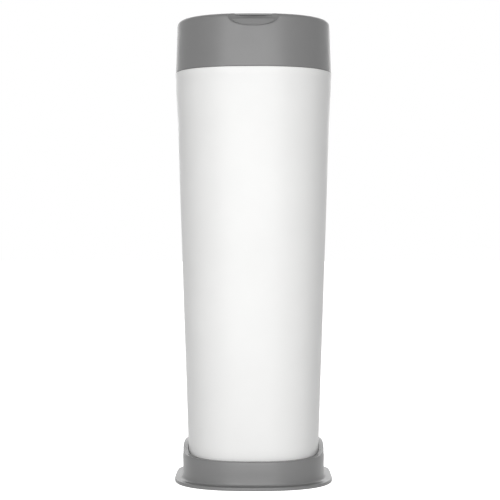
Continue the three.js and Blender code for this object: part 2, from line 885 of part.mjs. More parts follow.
// Pleated film packed in the tray
function filmPack() {
  const inner = cassetteBore + cassetteWall + packInset;
  const outer = cassetteRadius - cassetteWall - packInset;
  const bottom = cassetteBottom + cassetteWall + seatGap;
  return turnedRing([
    [inner, bottom],
    [outer, bottom],
    [outer, bottom + packHeight - packInset],
    [outer - packInset, bottom + packHeight],
    [inner + packInset, bottom + packHeight],
    [inner, bottom + packHeight - packInset],
  ], roundSteps);
}

// Path of [reach, height] points moved sideways, to its left for a positive distance
function offsetPath(path, distance) {
  return path.map(([reach, height], index) => {
    const before = path[Math.max(index - 1, 0)];
    const after = path[Math.min(index + 1, path.length - 1)];
    const alongReach = after[0] - before[0];
    const alongHeight = after[1] - before[1];
    const length = Math.hypot(alongReach, alongHeight);
    return [reach - (alongHeight * distance) / length, height + (alongReach * distance) / length];
  });
}

// Film from the cassette's slot over the bore wall, through the fingers, knotted at the end
function filmLiner() {
  const slotMiddle = cassetteBore + cassetteWall + capSlot / 2;
  const wallTop = cassetteTop - boreWallDrop;
  const side = cassetteBore - filmClear;
  const packTop = cassetteBottom + cassetteWall + seatGap + packHeight;
  const droop = THREE.MathUtils.degToRad(fingerDroop);
  const tipReach = deckBore + seatGap + fingerRootLap - fingerLength * Math.cos(droop);
  const neckHeight = fingerRingBottom + fingerThickness - fingerLength * Math.sin(droop);
  const neckReach = tipReach - filmFingerClear;
  const bottom = deckFloorBottom - filmDrop;
  const fall = neckHeight - bottom;
  const path = [
    [slotMiddle, packTop + seatGap],
    [slotMiddle, wallTop],
    [slotMiddle - capSlot / 4, wallTop + capSlot / 2],
    [side + capSlot / 4, wallTop + capSlot / 2],
    [side, wallTop],
    [side, cassetteBottom],
    [cassetteBore - filmFunnelDraw, fingerRingBottom],
    [neckReach, neckHeight],
    ...filmBellyShares.map(([reachShare, fallShare]) => {
      return [filmBelly * reachShare, neckHeight - fall * fallShare];
    }),
  ];
  const knot = filmKnotShares.map(([reachShare, fallShare]) => {
    return [filmKnot * reachShare, neckHeight - fall * fallShare];
  });
  const [, bagFloor] = path[path.length - 1];
  return turned([
    ...knot,
    ...offsetPath(path, filmThickness / 2).reverse(),
    ...offsetPath(path, -filmThickness / 2),
    [0, bagFloor + filmThickness],
  ], filmSteps);
}

const greyPlastic = { color: 0x929292, roughness: 0.42, metalness: 0 };
const whitePlastic = { color: 0xf3f3f2, roughness: 0.4, metalness: 0 };
const innerPlastic = { color: 0xdcdcda, roughness: 0.45, metalness: 0 };
const refillPlastic = { color: 0x8fb3c4, roughness: 0.5, metalness: 0 };
const filmPlastic = { color: 0xc9dbe6, roughness: 0.35, metalness: 0 };
const rubber = { color: 0x3a3a3a, roughness: 0.8, metalness: 0 };
const steel = { color: 0xb9bbbd, roughness: 0.3, metalness: 1 };

// Adds a piece with a material of its own
function addPiece(parent, name, geometry, look, place = [0, 0, 0]) {
  const piece = new THREE.Mesh(
    toCreasedNormals(geometry, Math.PI / 6),
    new THREE.MeshStandardMaterial(look),
  );
  piece.name = name;
  piece.position.set(...place);
  parent.add(piece);
  return piece;
}

const bin = new THREE.Group();

const base = new THREE.Group();
addPiece(base, 'base_cup', baseCup(), greyPlastic);
footPlaces().forEach(([x, y], index) => {
  addPiece(base, `rubber_foot_${index + 1}`, rubberFoot(), rubber, [x, y, 0]);
});

const tub = new THREE.Group();
addPiece(tub, 'tub', tubShell(), whitePlastic);

const collar = new THREE.Group();
addPiece(collar, 'collar_shell', collarShell(), greyPlastic);
addPiece(collar, 'rim_seal', rimSeal(), rubber);
addPiece(collar, 'cassette_deck', cassetteDeck(), innerPlastic);
screwPlaces().forEach(([x, y], index) => {
  const place = [x, y, deckFlangeBottom - seatGap];
  addPiece(collar, `deck_screw_${index + 1}`, deckScrew(), steel, place);
});
addPiece(collar, 'grip_finger_ring', gripFingerRing(), whitePlastic);
const rightPin = addPiece(collar, 'hinge_pin_right', hingePin(), steel);
rightPin.position.set(hingeBarrelHalf, hingeY, hingeZ);
const leftPin = addPiece(collar, 'hinge_pin_left', hingePin(), steel);
leftPin.position.set(-hingeBarrelHalf, hingeY, hingeZ);
leftPin.rotation.z = Math.PI;

const lid = new THREE.Group();
addPiece(lid, 'flip_lid', flipLid(), greyPlastic);
addPiece(lid, 'lid_inner_panel', lidInnerPanel(), innerPlastic);
addPiece(lid, 'lid_seal', lidSeal(), rubber);

const ring = new THREE.Group();
addPiece(ring, 'twist_ring', twistRing(), innerPlastic);
addPiece(ring, 'cassette_tray', cassetteTray(), refillPlastic);
addPiece(ring, 'cassette_sleeve', cassetteSleeve(), refillPlastic);
addPiece(ring, 'cassette_cap', cassetteCap(), refillPlastic);
addPiece(ring, 'film_pack', filmPack(), filmPlastic);
addPiece(ring, 'film_liner', filmLiner(), filmPlastic);

const cutter = new THREE.Group();
addPiece(cutter, 'cutter_slider', cutterSlider(), greyPlastic);
addPiece(cutter, 'cutter_blade', cutterBlade(), steel);

bin.add(base, tub, collar, lid, ring, cutter);

export default bin;
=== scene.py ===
from math import acos, asin, atan2, ceil, cos, hypot, pi, radians, sin, sqrt, tan

import bmesh
import bpy
from mathutils import Matrix, Vector, noise


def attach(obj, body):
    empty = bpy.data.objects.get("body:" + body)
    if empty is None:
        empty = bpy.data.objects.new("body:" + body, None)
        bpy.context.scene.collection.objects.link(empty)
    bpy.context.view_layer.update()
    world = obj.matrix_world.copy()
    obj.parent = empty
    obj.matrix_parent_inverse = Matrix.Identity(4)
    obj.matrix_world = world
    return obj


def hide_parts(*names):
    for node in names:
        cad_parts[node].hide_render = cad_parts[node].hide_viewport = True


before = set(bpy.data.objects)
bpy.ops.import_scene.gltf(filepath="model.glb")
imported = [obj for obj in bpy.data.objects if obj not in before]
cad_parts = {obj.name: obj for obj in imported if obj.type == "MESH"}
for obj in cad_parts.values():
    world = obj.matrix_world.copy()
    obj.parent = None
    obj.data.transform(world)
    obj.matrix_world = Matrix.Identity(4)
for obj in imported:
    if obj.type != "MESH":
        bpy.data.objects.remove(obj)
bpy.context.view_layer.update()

# Nappy bin. Sizes are in millimetres, and each mesh is turned into metres when it is made.
# The plan outline of every shell is |x|^power + |y|^power = reach^power.
plan = {
    "power": 2.45,
    "shellSteps": 224,
    "roundSteps": 144,
    "filletSteps": 5,
    "cornerDegrees": (225, 315, 45, 135),
}


# colour and node helpers

def linear(hexColour):
    channels = [int(hexColour[at:at + 2], 16) / 255 for at in (1, 3, 5)]
    return tuple(c / 12.92 if c <= 0.04045 else ((c + 0.055) / 1.055) ** 2.4 for c in channels) + (1.0,)


def addNode(tree, kind, settings=None, inputs=None):
    node = tree.nodes.new(kind)
    for name, value in (settings or {}).items():
        setattr(node, name, value)
    for name, value in (inputs or {}).items():
        if isinstance(value, bpy.types.NodeSocket):
            tree.links.new(value, node.inputs[name])
        else:
            node.inputs[name].default_value = value
    return node


def perMetre(sizeMm):
    return 1000.0 / sizeMm  # texture scale whose features are about that size


# A moulded surface: a fine grain from the tool, slow changes of shade, and rubbed patches in the gloss
def mouldedMaterial(name, look):
    material = bpy.data.materials.new(name)
    material.use_nodes = True
    tree = material.node_tree
    tree.nodes.clear()
    place = addNode(tree, "ShaderNodeTexCoord").outputs["Object"]
    cloud = addNode(tree, "ShaderNodeTexNoise", inputs={
        "Vector": place, "Scale": perMetre(look["cloudMm"]), "Detail": 3.0, "Roughness": 0.55})
    shade = addNode(tree, "ShaderNodeValToRGB", inputs={"Fac": cloud.outputs["Fac"]})
    for stop, position, colour in zip(shade.color_ramp.elements, (0.3, 0.7), (look["dark"], look["light"])):
        stop.position, stop.color = position, linear(colour)
    rub = addNode(tree, "ShaderNodeTexNoise", inputs={
        "Vector": place, "Scale": perMetre(look["rubMm"]),
        "Detail": 5.0, "Roughness": 0.6, "Distortion": 0.6})
    gloss = addNode(tree, "ShaderNodeMapRange", inputs={
        "Value": rub.outputs["Fac"], "From Min": 0.3, "From Max": 0.7,
        "To Min": look["rough"][0], "To Max": look["rough"][1]})
    grain = addNode(tree, "ShaderNodeTexNoise", inputs={
        "Vector": place, "Scale": perMetre(look["grainMm"]), "Detail": 2.0, "Roughness": 0.6})
    bump = addNode(tree, "ShaderNodeBump", inputs={
        "Height": grain.outputs["Fac"], "Strength": look["grainStrength"],
        "Distance": look["grainDeepMm"] / 1000})
    shader = addNode(tree, "ShaderNodeBsdfPrincipled", inputs={
        "Base Color": shade.outputs["Color"], "Roughness": gloss.outputs["Result"],
        "Normal": bump.outputs["Normal"], "IOR": look["ior"], "Metallic": look.get("metallic", 0.0),
        "Alpha": look.get("clear", 1.0)})
    addNode(tree, "ShaderNodeOutputMaterial", inputs={"Surface": shader.outputs["BSDF"]})
    return material


# Grey ABS, injection moulded in a spark-eroded tool: a soft satin grey with a barely seen grain
satinAbs = mouldedMaterial("satin_moulded_abs", {
    "dark": "#7a7a7a", "light": "#7d7d7d", "cloudMm": 70, "rubMm": 24, "rough": (0.32, 0.40),
    "grainMm": 0.9, "grainStrength": 0.25, "grainDeepMm": 0.02, "ior": 1.53})

# White polypropylene, injection moulded in a polished tool: bright, a little waxy, with a soft sheen
waxyPolypropylene = mouldedMaterial("waxy_moulded_polypropylene", {
    "dark": "#ececeb", "light": "#f0f0ef", "cloudMm": 120, "rubMm": 36, "rough": (0.36, 0.44),
    "grainMm": 1.2, "grainStrength": 0.15, "grainDeepMm": 0.02, "ior": 1.49})

# Pale grey ABS of the inside pieces, moulded without a texture: a touch glossier than the outside
innerAbs = mouldedMaterial("plain_moulded_inner_abs", {
    "dark": "#cfcfcc", "light": "#d6d6d3", "cloudMm": 50, "rubMm": 14, "rough": (0.32, 0.42),
    "grainMm": 0.8, "grainStrength": 0.15, "grainDeepMm": 0.015, "ior": 1.53})

# Pale blue polypropylene of the refill, thin walled and quickly moulded: flat colour, dull sheen
refillPolypropylene = mouldedMaterial("thin_moulded_refill_polypropylene", {
    "dark": "#7fa6b8", "light": "#8bb1c2", "cloudMm": 40, "rubMm": 10, "rough": (0.42, 0.55),
    "grainMm": 0.7, "grainStrength": 0.2, "grainDeepMm": 0.02, "ior": 1.49})

# Black thermoplastic rubber, moulded matt: dark, with a grain that scatters the light
mattRubber = mouldedMaterial("matt_moulded_rubber", {
    "dark": "#2b2b2b", "light": "#353535", "cloudMm": 20, "rubMm": 6, "rough": (0.70, 0.85),
    "grainMm": 0.5, "grainStrength": 0.4, "grainDeepMm": 0.03, "ior": 1.50})

# Steel wire and sheet, zinc plated and rolled: bright, with fine rubbed streaks
platedSteel = mouldedMaterial("zinc_plated_steel", {
    "dark": "#a9abad", "light": "#c6c8ca", "cloudMm": 6, "rubMm": 2, "rough": (0.22, 0.38),
    "grainMm": 0.4, "grainStrength": 0.1, "grainDeepMm": 0.01, "ior": 1.5, "metallic": 1.0})

# Blown low density polyethylene film: a soft see-through blue with a wet-looking sheen and fine crinkles
blownFilm = mouldedMaterial("blown_polyethylene_film", {
    "dark": "#bcd3e0", "light": "#cfe1ea", "cloudMm": 12, "rubMm": 5, "rough": (0.16, 0.30),
    "grainMm": 2.2, "grainStrength": 0.5, "grainDeepMm": 0.15, "ior": 1.51, "clear": 0.72})

# The same film packed in hundreds of layers: no longer see-through, milky, with crushed edges
packedFilm = mouldedMaterial("packed_polyethylene_film", {
    "dark": "#b3cbd9", "light": "#d2e2ea", "cloudMm": 4, "rubMm": 2, "rough": (0.22, 0.40),
    "grainMm": 1.0, "grainStrength": 0.6, "grainDeepMm": 0.2, "ior": 1.51})
print("materials made")


# shape helpers, all in millimetres

def valuesOf(sizes, *names):
    return [sizes[name] for name in names]


def planPoint(reach, angle, power=plan["power"]):
    across, along = abs(cos(angle)) ** power, abs(sin(angle)) ** power
    radius = reach / (across + along) ** (1 / power)
    return radius * cos(angle), radius * sin(angle)


def roundPoint(reach, angle):
    return reach * cos(angle), reach * sin(angle)


# How far the plan outline of a reach stands out in y at a distance to the side
def planDepth(reach, aside, power=plan["power"]):
    return (reach ** power - abs(aside) ** power) ** (1 / power)


def arcOf(centre, radii, fromDegrees, toDegrees, steps):
    turns = [radians(fromDegrees + (toDegrees - fromDegrees) * step / steps) for step in range(steps + 1)]
    return [(centre[0] + radii[0] * cos(turn), centre[1] + radii[1] * sin(turn)) for turn in turns]


# Corners of a rectangle, with their rounds from the lower left one on
def rectangle(left, right, bottom, top, *rounds):
    corners = [(left, bottom), (right, bottom), (right, top), (left, top)]
    return [(*corner, rounding) for corner, rounding in zip(corners, rounds)]


# Rounds each corner of an outline that gives a radius as its third number
def filleted(outline, closed=False, steps=plan["filletSteps"]):
    made = []
    count = len(outline)
    for at, corner in enumerate(outline):
        here = Vector(corner[:2])
        atEnd = not closed and at in (0, count - 1)
        if atEnd or len(corner) < 3 or not corner[2]:
            made.append(tuple(here))
            continue
        back = Vector(outline[at - 1][:2]) - here
        onward = Vector(outline[(at + 1) % count][:2]) - here
        half = back.angle(onward) / 2
        trim = min(corner[2] / tan(half), 0.48 * back.length, 0.48 * onward.length)
        radius = trim * tan(half)
        start, end = here + back.normalized() * trim, here + onward.normalized() * trim
        centre = here + (back.normalized() + onward.normalized()).normalized() * (radius / sin(half))
        sweep = (start - centre).angle_signed(end - centre)
        for step in range(steps + 1):
            turn = Matrix.Rotation(-sweep * step / steps, 2)
            made.append(tuple(centre + turn @ (start - centre)))
    return made


# Body turned about Z from an outline of (reach, height), open at the axis or closed on itself
def spun(outline, placer=planPoint, ring=False, steps=None, shift=None):
    steps = steps or plan["roundSteps" if placer is roundPoint else "shellSteps"]
    points, grid, poles = [], [], {}
    for step in range(steps):
        grid.append([])
        for at, (reach, height) in enumerate(outline):
            if at not in poles:  # a point on the axis is made only once
                x, y = placer(reach, 2 * pi * step / steps)
                points.append(shift(x, y, height) if shift else (x, y, height))
            grid[-1].append(poles.get(at, len(points) - 1))
            if abs(reach) < 1e-6:
                poles[at] = grid[-1][-1]
    return points, gridFaces(grid, ring)


def spunRing(outline, placer=planPoint, filletSteps=plan["filletSteps"]):
    return spun(filleted(outline, closed=True, steps=filletSteps), placer, ring=True)


def gridFaces(grid, ring, wrap=True):
    faces = []
    for at in range(len(grid) if wrap else len(grid) - 1):
        left, right = grid[at], grid[(at + 1) % len(grid)]
        for row in range(len(left) if ring else len(left) - 1):
            onward = (row + 1) % len(left)
            face = [left[row], right[row], right[onward], left[onward]]
            face = [v for k, v in enumerate(face) if v != face[k - 1]]
            if len(face) > 2:
                faces.append(face)
    return faces


# Skin over columns of points, each one closed on itself if it is a ring
def skinOver(columns, ring=True, wrap=True):
    points, grid = [], []
    for column in columns:
        grid.append(range(len(points), len(points) + len(column)))
        points += column
    return points, gridFaces(grid, ring, wrap)


# Outline of (first, second) points as a plate, with its faces at two heights
def plateOf(outline, low, high):
    count = len(outline)
    points = [(u, v, low) for u, v in outline] + [(u, v, high) for u, v in outline]
    faces = [list(range(count))[::-1], list(range(count, 2 * count))]
    faces += [[k, (k + 1) % count, count + (k + 1) % count, count + k] for k in range(count)]
    return points, faces


# Outline of (y, z) points as a plate between two x values
def plateAcross(outline, fromX, toX):
    points, faces = plateOf(outline, fromX, toX)
    return [(p[2], p[0], p[1]) for p in points], faces


# Outline of (radius, height) points as an upright plate in the +X direction
def uprightPlate(outline, thickness):
    points, faces = plateOf(outline, -thickness / 2, thickness / 2)
    return [(p[0], p[2], p[1]) for p in points], faces


def block(low, high, radius=0):
    corners = rectangle(low[0], high[0], low[1], high[1], radius, radius, radius, radius)
    return plateOf(filleted(corners, closed=True), low[2], high[2])


# Block across the middle, as long to the left as to the right
def barAcross(half, front, rear, low, high):
    return block((-half, front, low), (half, rear, high))


def moved(part, matrix):
    return [tuple(matrix @ Vector(p)) for p in part[0]], part[1]


def turnedTo(part, angleDegrees):
    return moved(part, Matrix.Rotation(radians(angleDegrees), 4, "Z"))


# What is made in the +X direction, turned to the front
def facingFront(part):
    return turnedTo(part, 270)


# Block from start to end on the way out to the front
def blockInFront(start, end, half, low, high, radius=0):
    return facingFront(block((start, -half, low), (end, half, high), radius))


# The part at the four corners of the plan
def atCorners(part, reach, placer=planPoint):
    places = [placer(reach, radians(angle)) for angle in plan["cornerDegrees"]]
    return [moved(part, Matrix.Translation((x, y, 0))) for x, y in places]


# All parts as one mesh object, in metres, with outward faces, and smooth but for its real edges
def makeMesh(name, parts, sharpDegrees=32):
    made = bmesh.new()
    for points, faces in parts:
        corners = [made.verts.new(Vector(p) / 1000) for p in points]
        part = []
        for face in faces:
            try:
                part.append(made.faces.new([corners[k] for k in face]))
            except ValueError:
                pass  # the same face is there already
        bmesh.ops.recalc_face_normals(made, faces=part)
    mesh = bpy.data.meshes.new(name)
    made.to_mesh(mesh)
    made.free()
    mesh.shade_smooth()
    mesh.set_sharp_from_angle(angle=radians(sharpDegrees))
    piece = bpy.data.objects.new(name, mesh)
    bpy.context.scene.collection.objects.link(piece)
    return piece


# Applies what the modifiers make, so that none is left on the piece
def settle(piece, sharpDegrees=32):
    bpy.context.view_layer.update()
    seen = piece.evaluated_get(bpy.context.evaluated_depsgraph_get())
    mesh = bpy.data.meshes.new_from_object(seen)
    piece.modifiers.clear()
    piece.data = mesh
    mesh.shade_smooth()
    mesh.set_sharp_from_angle(angle=radians(sharpDegrees))
    return piece


def cutAway(piece, cutters, sharpDegrees=32):
    tool = makeMesh("cutter", cutters)
    change = piece.modifiers.new("cut", "BOOLEAN")
    change.operation, change.solver, change.object = "DIFFERENCE", "EXACT", tool
    change.use_self = len(cutters) > 1
    settle(piece, sharpDegrees)
    bpy.data.objects.remove(tool)
    return piece


def softened(piece, widthMm, segments=3, angleDegrees=40):
    change = piece.modifiers.new("edges", "BEVEL")
    change.width, change.segments = widthMm / 1000, segments
    change.limit_method, change.angle_limit = "ANGLE", radians(angleDegrees)
    return settle(piece)


def finished(piece, material, body, *nodes):
    piece.data.materials.clear()
    piece.data.materials.append(material)
    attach(piece, body)
    if nodes:
        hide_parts(*nodes)
    return piece


# The finer piece that stands in for a node of the frame
def standIn(node, parts, material, body, sharpDegrees=32):
    return finished(makeMesh(node + "_fine", parts, sharpDegrees), material, body, node)


# camera: the photograph looks straight at the front from half the bin's height
camera = {"lensMm": 108, "sensorMm": 36, "place": (0, -2.1, 0.3206), "shiftX": -0.007}
cameraData = bpy.data.cameras.new("camera")
cameraData.lens, cameraData.sensor_width = camera["lensMm"], camera["sensorMm"]
cameraData.shift_x = camera["shiftX"]
cameraObject = bpy.data.objects.new("camera", cameraData)
cameraObject.location, cameraObject.rotation_euler = camera["place"], (radians(90), 0, 0)
bpy.context.scene.collection.objects.link(cameraObject)
bpy.context.scene.camera = cameraObject
bpy.context.scene.view_settings.view_transform = "Standard"
bpy.context.scene.view_settings.look = "None"

# Softboxes, in metres: a large one in front, a faint low one for the tub's foot, a high one behind,
# which lights the flange and the seat from the rear, and a weak one on top
softboxes = {
    "front": {"place": (-0.12, -1.75, 0.20), "aim": (0, 0, 0.18), "size": (2.0, 1.8), "watts": 35.6},
    "low": {"place": (0, -0.62, 0.07), "aim": (0, 0, 0.07), "size": (0.6, 0.1), "watts": 0.27},
    "rear": {"place": (0, 2.3, 1.15), "aim": (0, 0, 0.32), "size": (2.4, 1.3), "watts": 15},
    "top": {"place": (0, 0, 2.3), "aim": (0, 0, 0), "size": (1.6, 1.6), "watts": 3},
}
for name, box in softboxes.items():
    data = bpy.data.lights.new(name + "_softbox", "AREA")
    data.shape, data.size, data.size_y = "RECTANGLE", box["size"][0], box["size"][1]
    data.energy = box["watts"]
    light = bpy.data.objects.new(name + "_softbox", data)
    light.location = box["place"]
    aim = Vector(box["aim"]) - Vector(box["place"])
    light.rotation_euler = aim.to_track_quat("-Z", "Y").to_euler()
    light.visible_camera = False
    bpy.context.scene.collection.objects.link(light)

# White room: white to the eye and in every reflection, while it fills the shadows only a little
room = {"seen": 1.0, "mirrored": 1.0, "fill": 0.13}
world = bpy.data.worlds.new("white_room")
world.use_nodes = True
world.node_tree.nodes.clear()
rays = addNode(world.node_tree, "ShaderNodeLightPath")
mirrored = addNode(world.node_tree, "ShaderNodeMapRange", inputs={
    "Value": rays.outputs["Is Glossy Ray"], "To Min": room["fill"], "To Max": room["mirrored"]})
strength = addNode(world.node_tree, "ShaderNodeMix", inputs={
    0: rays.outputs["Is Camera Ray"], 2: mirrored.outputs["Result"], 3: room["seen"]})
paint = addNode(world.node_tree, "ShaderNodeBackground", inputs={
    "Color": (1, 1, 1, 1), "Strength": strength.outputs[0]})
addNode(world.node_tree, "ShaderNodeOutputWorld", inputs={"Surface": paint.outputs["Background"]})
bpy.context.scene.world = world

# Floor: a pale sweep that is overlit for the eye, and throws little light back
floorLook = {"halfMm": 40000, "paint": "#bcbcbc", "glow": 1.0, "mirroredGlow": 0.6, "bounce": 0.33}
half = floorLook["halfMm"]
floorCorners = [(-half, -half, 0), (half, -half, 0), (half, half, 0), (-half, half, 0)]
floor = makeMesh("floor", [(floorCorners, [[0, 1, 2, 3]])])
sweep = bpy.data.materials.new("overlit_white_sweep")
sweep.use_nodes = True
sweep.node_tree.nodes.clear()
sweepRays = addNode(sweep.node_tree, "ShaderNodeLightPath")
sweepPaint = addNode(sweep.node_tree, "ShaderNodeBsdfDiffuse", inputs={"Color": linear(floorLook["paint"])})
sweepMirrored = addNode(sweep.node_tree, "ShaderNodeMath", settings={"operation": "MULTIPLY_ADD"}, inputs={
    0: sweepRays.outputs["Is Glossy Ray"], 1: floorLook["mirroredGlow"], 2: floorLook["bounce"]})
sweepGlow = addNode(sweep.node_tree, "ShaderNodeMath", settings={"operation": "MULTIPLY_ADD"}, inputs={
    0: sweepRays.outputs["Is Camera Ray"], 1: floorLook["glow"], 2: sweepMirrored.outputs[0]})
sweepLight = addNode(sweep.node_tree, "ShaderNodeEmission", inputs={
    "Color": (1, 1, 1, 1), "Strength": sweepGlow.outputs[0]})
sweepSum = addNode(sweep.node_tree, "ShaderNodeAddShader", inputs={
    0: sweepPaint.outputs[0], 1: sweepLight.outputs[0]})
addNode(sweep.node_tree, "ShaderNodeOutputMaterial", inputs={"Surface": sweepSum.outputs[0]})
floor.data.materials.append(sweep)
print("camera, light and floor made")


# base cup: a cup whose rim is low in front, on a thin flange
cup = {
    "flangeBottom": 0.2, "flangeTop": 4.9, "flangeReach": 109.5, "flangeRound": 1.4, "rearPower": 7.0,
    "innerReach": 94.9, "wallReach": 98.1, "footFillet": 4.0, "waistIn": 0.05, "waistHeight": 20.0,
    "floorBottom": 24.0, "floorTop": 27.0,
    "rimRise": 10.2, "rimFlare": 0.3, "rimRound": 1.2, "rimWidth": 2.6, "rimSlope": 0.2,
    "lean": 8.5, "step": 11.3, "stepFront": 62.0, "stepRear": 40.0,
    "seatDrop": 0.32, "seatSteps": 20, "seatRound": 14.6, "seatCentre": (76.36, 41.3), "seatLean": 0.033,
    "ribThick": 2.6, "ribHigh": 22.0, "ribAngles": (0, 90),
}


# The flange is squarer than the wall towards the rear
def cupPoint(reach, angle):
    if reach <= cup["wallReach"]:
        return planPoint(reach, angle)
    share = (reach - cup["wallReach"]) / (cup["flangeReach"] - cup["wallReach"])
    wall = planPoint(cup["wallReach"], angle)
    rim = planPoint(cup["flangeReach"], angle, cup["rearPower"] if sin(angle) > 0 else plan["power"])
    return tuple(wall[k] + (rim[k] - wall[k]) * share for k in (0, 1))


def cupRimHeight(y):
    share = min(max((y + cup["stepFront"]) / (cup["stepFront"] + cup["stepRear"]), 0), 1)
    lean = cup["lean"] * (y + cup["wallReach"]) / (2 * cup["wallReach"])
    return cup["floorTop"] + cup["rimRise"] + lean + cup["step"] * share * share * (3 - 2 * share)


# Reach of the seat that follows the tub's foot: round below, and leaning with the tub's wall above
def seatReach(height):
    above = height - cup["seatCentre"][1]
    if above > 0:
        return cup["seatCentre"][0] + cup["seatRound"] + above * cup["seatLean"]
    return cup["seatCentre"][0] + sqrt(cup["seatRound"] ** 2 - above ** 2)


def makeBaseCup():
    wall, inner, power = cup["wallReach"], cup["innerReach"], plan["power"]
    floorTop, floorBottom = cup["floorTop"], cup["floorBottom"]
    rimTop, rimReach = floorTop + cup["rimRise"], wall + cup["rimFlare"]
    seatTop = rimTop - cup["seatDrop"]

    # the rim goes up towards the back, and the seat is stretched up to it
    def lifted(x, y, z):
        lift = cupRimHeight(y) - rimTop
        reach = (abs(x) ** power + abs(y) ** power) ** (1 / power)
        if z > seatTop + 0.01:
            return x, y, z + lift
        if z < floorTop + 0.01 or reach > inner:
            return x, y, z
        height = floorTop + (z - floorTop) * (seatTop + lift - floorTop) / (seatTop - floorTop)
        scale = seatReach(height) / reach
        return x * scale, y * scale, height

    seat = []
    for step in range(cup["seatSteps"] + 1):
        height = floorTop + (seatTop - floorTop) * (1 - step / cup["seatSteps"]) ** 2
        seat.append((seatReach(height), height))
    outline = filleted([
        (0, floorBottom), (inner, floorBottom, 2.0), (inner, cup["flangeBottom"], 0.6),
        (wall, cup["flangeBottom"]),
        (cup["flangeReach"], cup["flangeBottom"], cup["flangeRound"] / 2),
        (cup["flangeReach"], cup["flangeTop"], cup["flangeRound"]),
        (wall, cup["flangeTop"], cup["footFillet"]),
        (wall - cup["waistIn"], cup["waistHeight"]),
        (rimReach, rimTop, cup["rimRound"]),
        (rimReach - cup["rimWidth"], rimTop - cup["rimSlope"], 0.8),
        seat[0]], steps=6) + seat[1:] + [(0, floorTop)]
    ribHalf = cup["ribThick"] / 2
    rib = barAcross(inner + 1, -ribHalf, ribHalf, floorBottom - cup["ribHigh"], floorBottom + 1)
    ribs = [turnedTo(rib, angle) for angle in cup["ribAngles"]]
    standIn("base_cup", [spun(outline, cupPoint, shift=lifted)] + ribs, satinAbs, "base")


makeBaseCup()

# rubber feet: low pads with a dimple in the standing face
foot = {"radius": 5.5, "proud": 0.5, "top": 1.7, "place": 102.2, "dimpleReach": 1.6, "dimpleDeep": 0.35}


def makeFeet():
    pad = spun(filleted([
        (0, foot["dimpleDeep"]), (foot["dimpleReach"], foot["dimpleDeep"], 0.2),
        (foot["dimpleReach"] + 0.4, 0, 0.2), (foot["radius"] - 0.8, 0, 0.4),
        (foot["radius"], foot["proud"], 0.3), (foot["radius"], foot["top"], 0.2), (0, foot["top"])], steps=3),
        roundPoint, steps=48)
    for number, placed in enumerate(atCorners(pad, foot["place"], cupPoint), 1):
        standIn("rubber_foot_%d" % number, [placed], mattRubber, "base")


makeFeet()
print("base made")


# tub: a plain tapered shell that flares a little to a straight band, with a soft bead at its mouth
tub = {
    "bottom": 27.3, "top": 565.0, "wall": 3.0, "footReach": 89.9, "footRound": 14.0, "shoulderReach": 105.7,
    "bandReach": 108.0, "bandHeight": 23.0, "bandStep": 36.0, "bead": 0.7, "beadHeight": 8.0,
    "beadRounds": (40.0, 20.0), "lipHeight": 2.0, "lipRound": 0.6, "flareRounds": (900.0, 500.0),
}


def makeTub():
    bottom, top, wall = valuesOf(tub, "bottom", "top", "wall")
    foot, shoulder, band = valuesOf(tub, "footReach", "shoulderReach", "bandReach")
    bandBottom = top - tub["bandHeight"]
    taperTop = bandBottom - tub["bandStep"]
    bead = band + tub["bead"]
    outline = filleted([
        (0, bottom),
        (foot, bottom, tub["footRound"]),
        (shoulder, taperTop, tub["flareRounds"][0]),
        (band, bandBottom, tub["flareRounds"][1]),
        (band, top - tub["beadHeight"], tub["beadRounds"][0]),
        (bead, top - tub["lipHeight"], tub["beadRounds"][1]),
        (bead, top, tub["lipRound"]),
        (band - wall, top, 0.5),
        (band - wall, bandBottom, tub["flareRounds"][1]),
        (shoulder - wall, taperTop, tub["flareRounds"][0]),
        (foot - wall, bottom + wall, tub["footRound"] - wall),
        (0, bottom + wall),
    ], steps=8)
    standIn("tub", [spun(outline)], waxyPolypropylene, "tub")


makeTub()
print("tub made")


# collar: a grey ring with a scooped front shoulder, a ledge for the lid and a skirt into the tub
collar = {
    "bottom": 565.3, "top": 636.5, "footReach": 108.2, "topReach": 106.0, "wall": 3.0, "footThick": 3.0,
    "leanRows": 22, "leanPower": 1.5, "evenColumns": 190,
    "recessReach": 99.0, "shoulderWidth": 7.0, "shoulderHeight": 5.5, "shoulderDegrees": 86,
    "ledgeReach": 90.0, "ledgeTop": 633.6, "ledgeBottom": 629.4, "ledgeRows": 12, "ledgeRun": 9.0,
    "skirtReach": 104.4, "skirtInner": 102.0, "skirtBottom": 553.0,
    "sealTop": 560.0, "sealBottom": 557.0, "sealSink": 1.2,
    "bossRadius": 4.0, "bossPlace": 97.6, "bossBottom": 611.1, "bossHole": 1.9,
}

# scoop: a hollow for a finger, with a thin wall behind it
scoop = {
    "half": 36.0, "drop": 16.8, "depth": 11.4, "power": 1.8, "spread": 2.8, "margin": 4.0, "spacing": 0.8,
    "searchSteps": 900, "backing": 3.0, "backReach": 103.5, "backSteps": 14,
}

# hinge: two ears in a notch that is deep between them, and beside them only as deep as the lid's edge needs
hinge = {
    "notchHalf": 60.0, "notchFront": 92.5, "notchFloor": 625.5, "deepHalf": 45.2, "shallowFloor": 631.4,
    "notchWall": 2.5, "cutReach": 120, "skinClear": 1.6, "earStart": 36.6, "earEnd": 44.0, "earRound": 0.35,
    "y": 99.0, "z": 632.0, "radius": 4.5, "pinHole": 1.8, "pinSteps": 48,
}
hingePlace = Matrix.Translation((0, hinge["y"], hinge["z"])) @ Matrix.Rotation(pi / 2, 4, "Y")


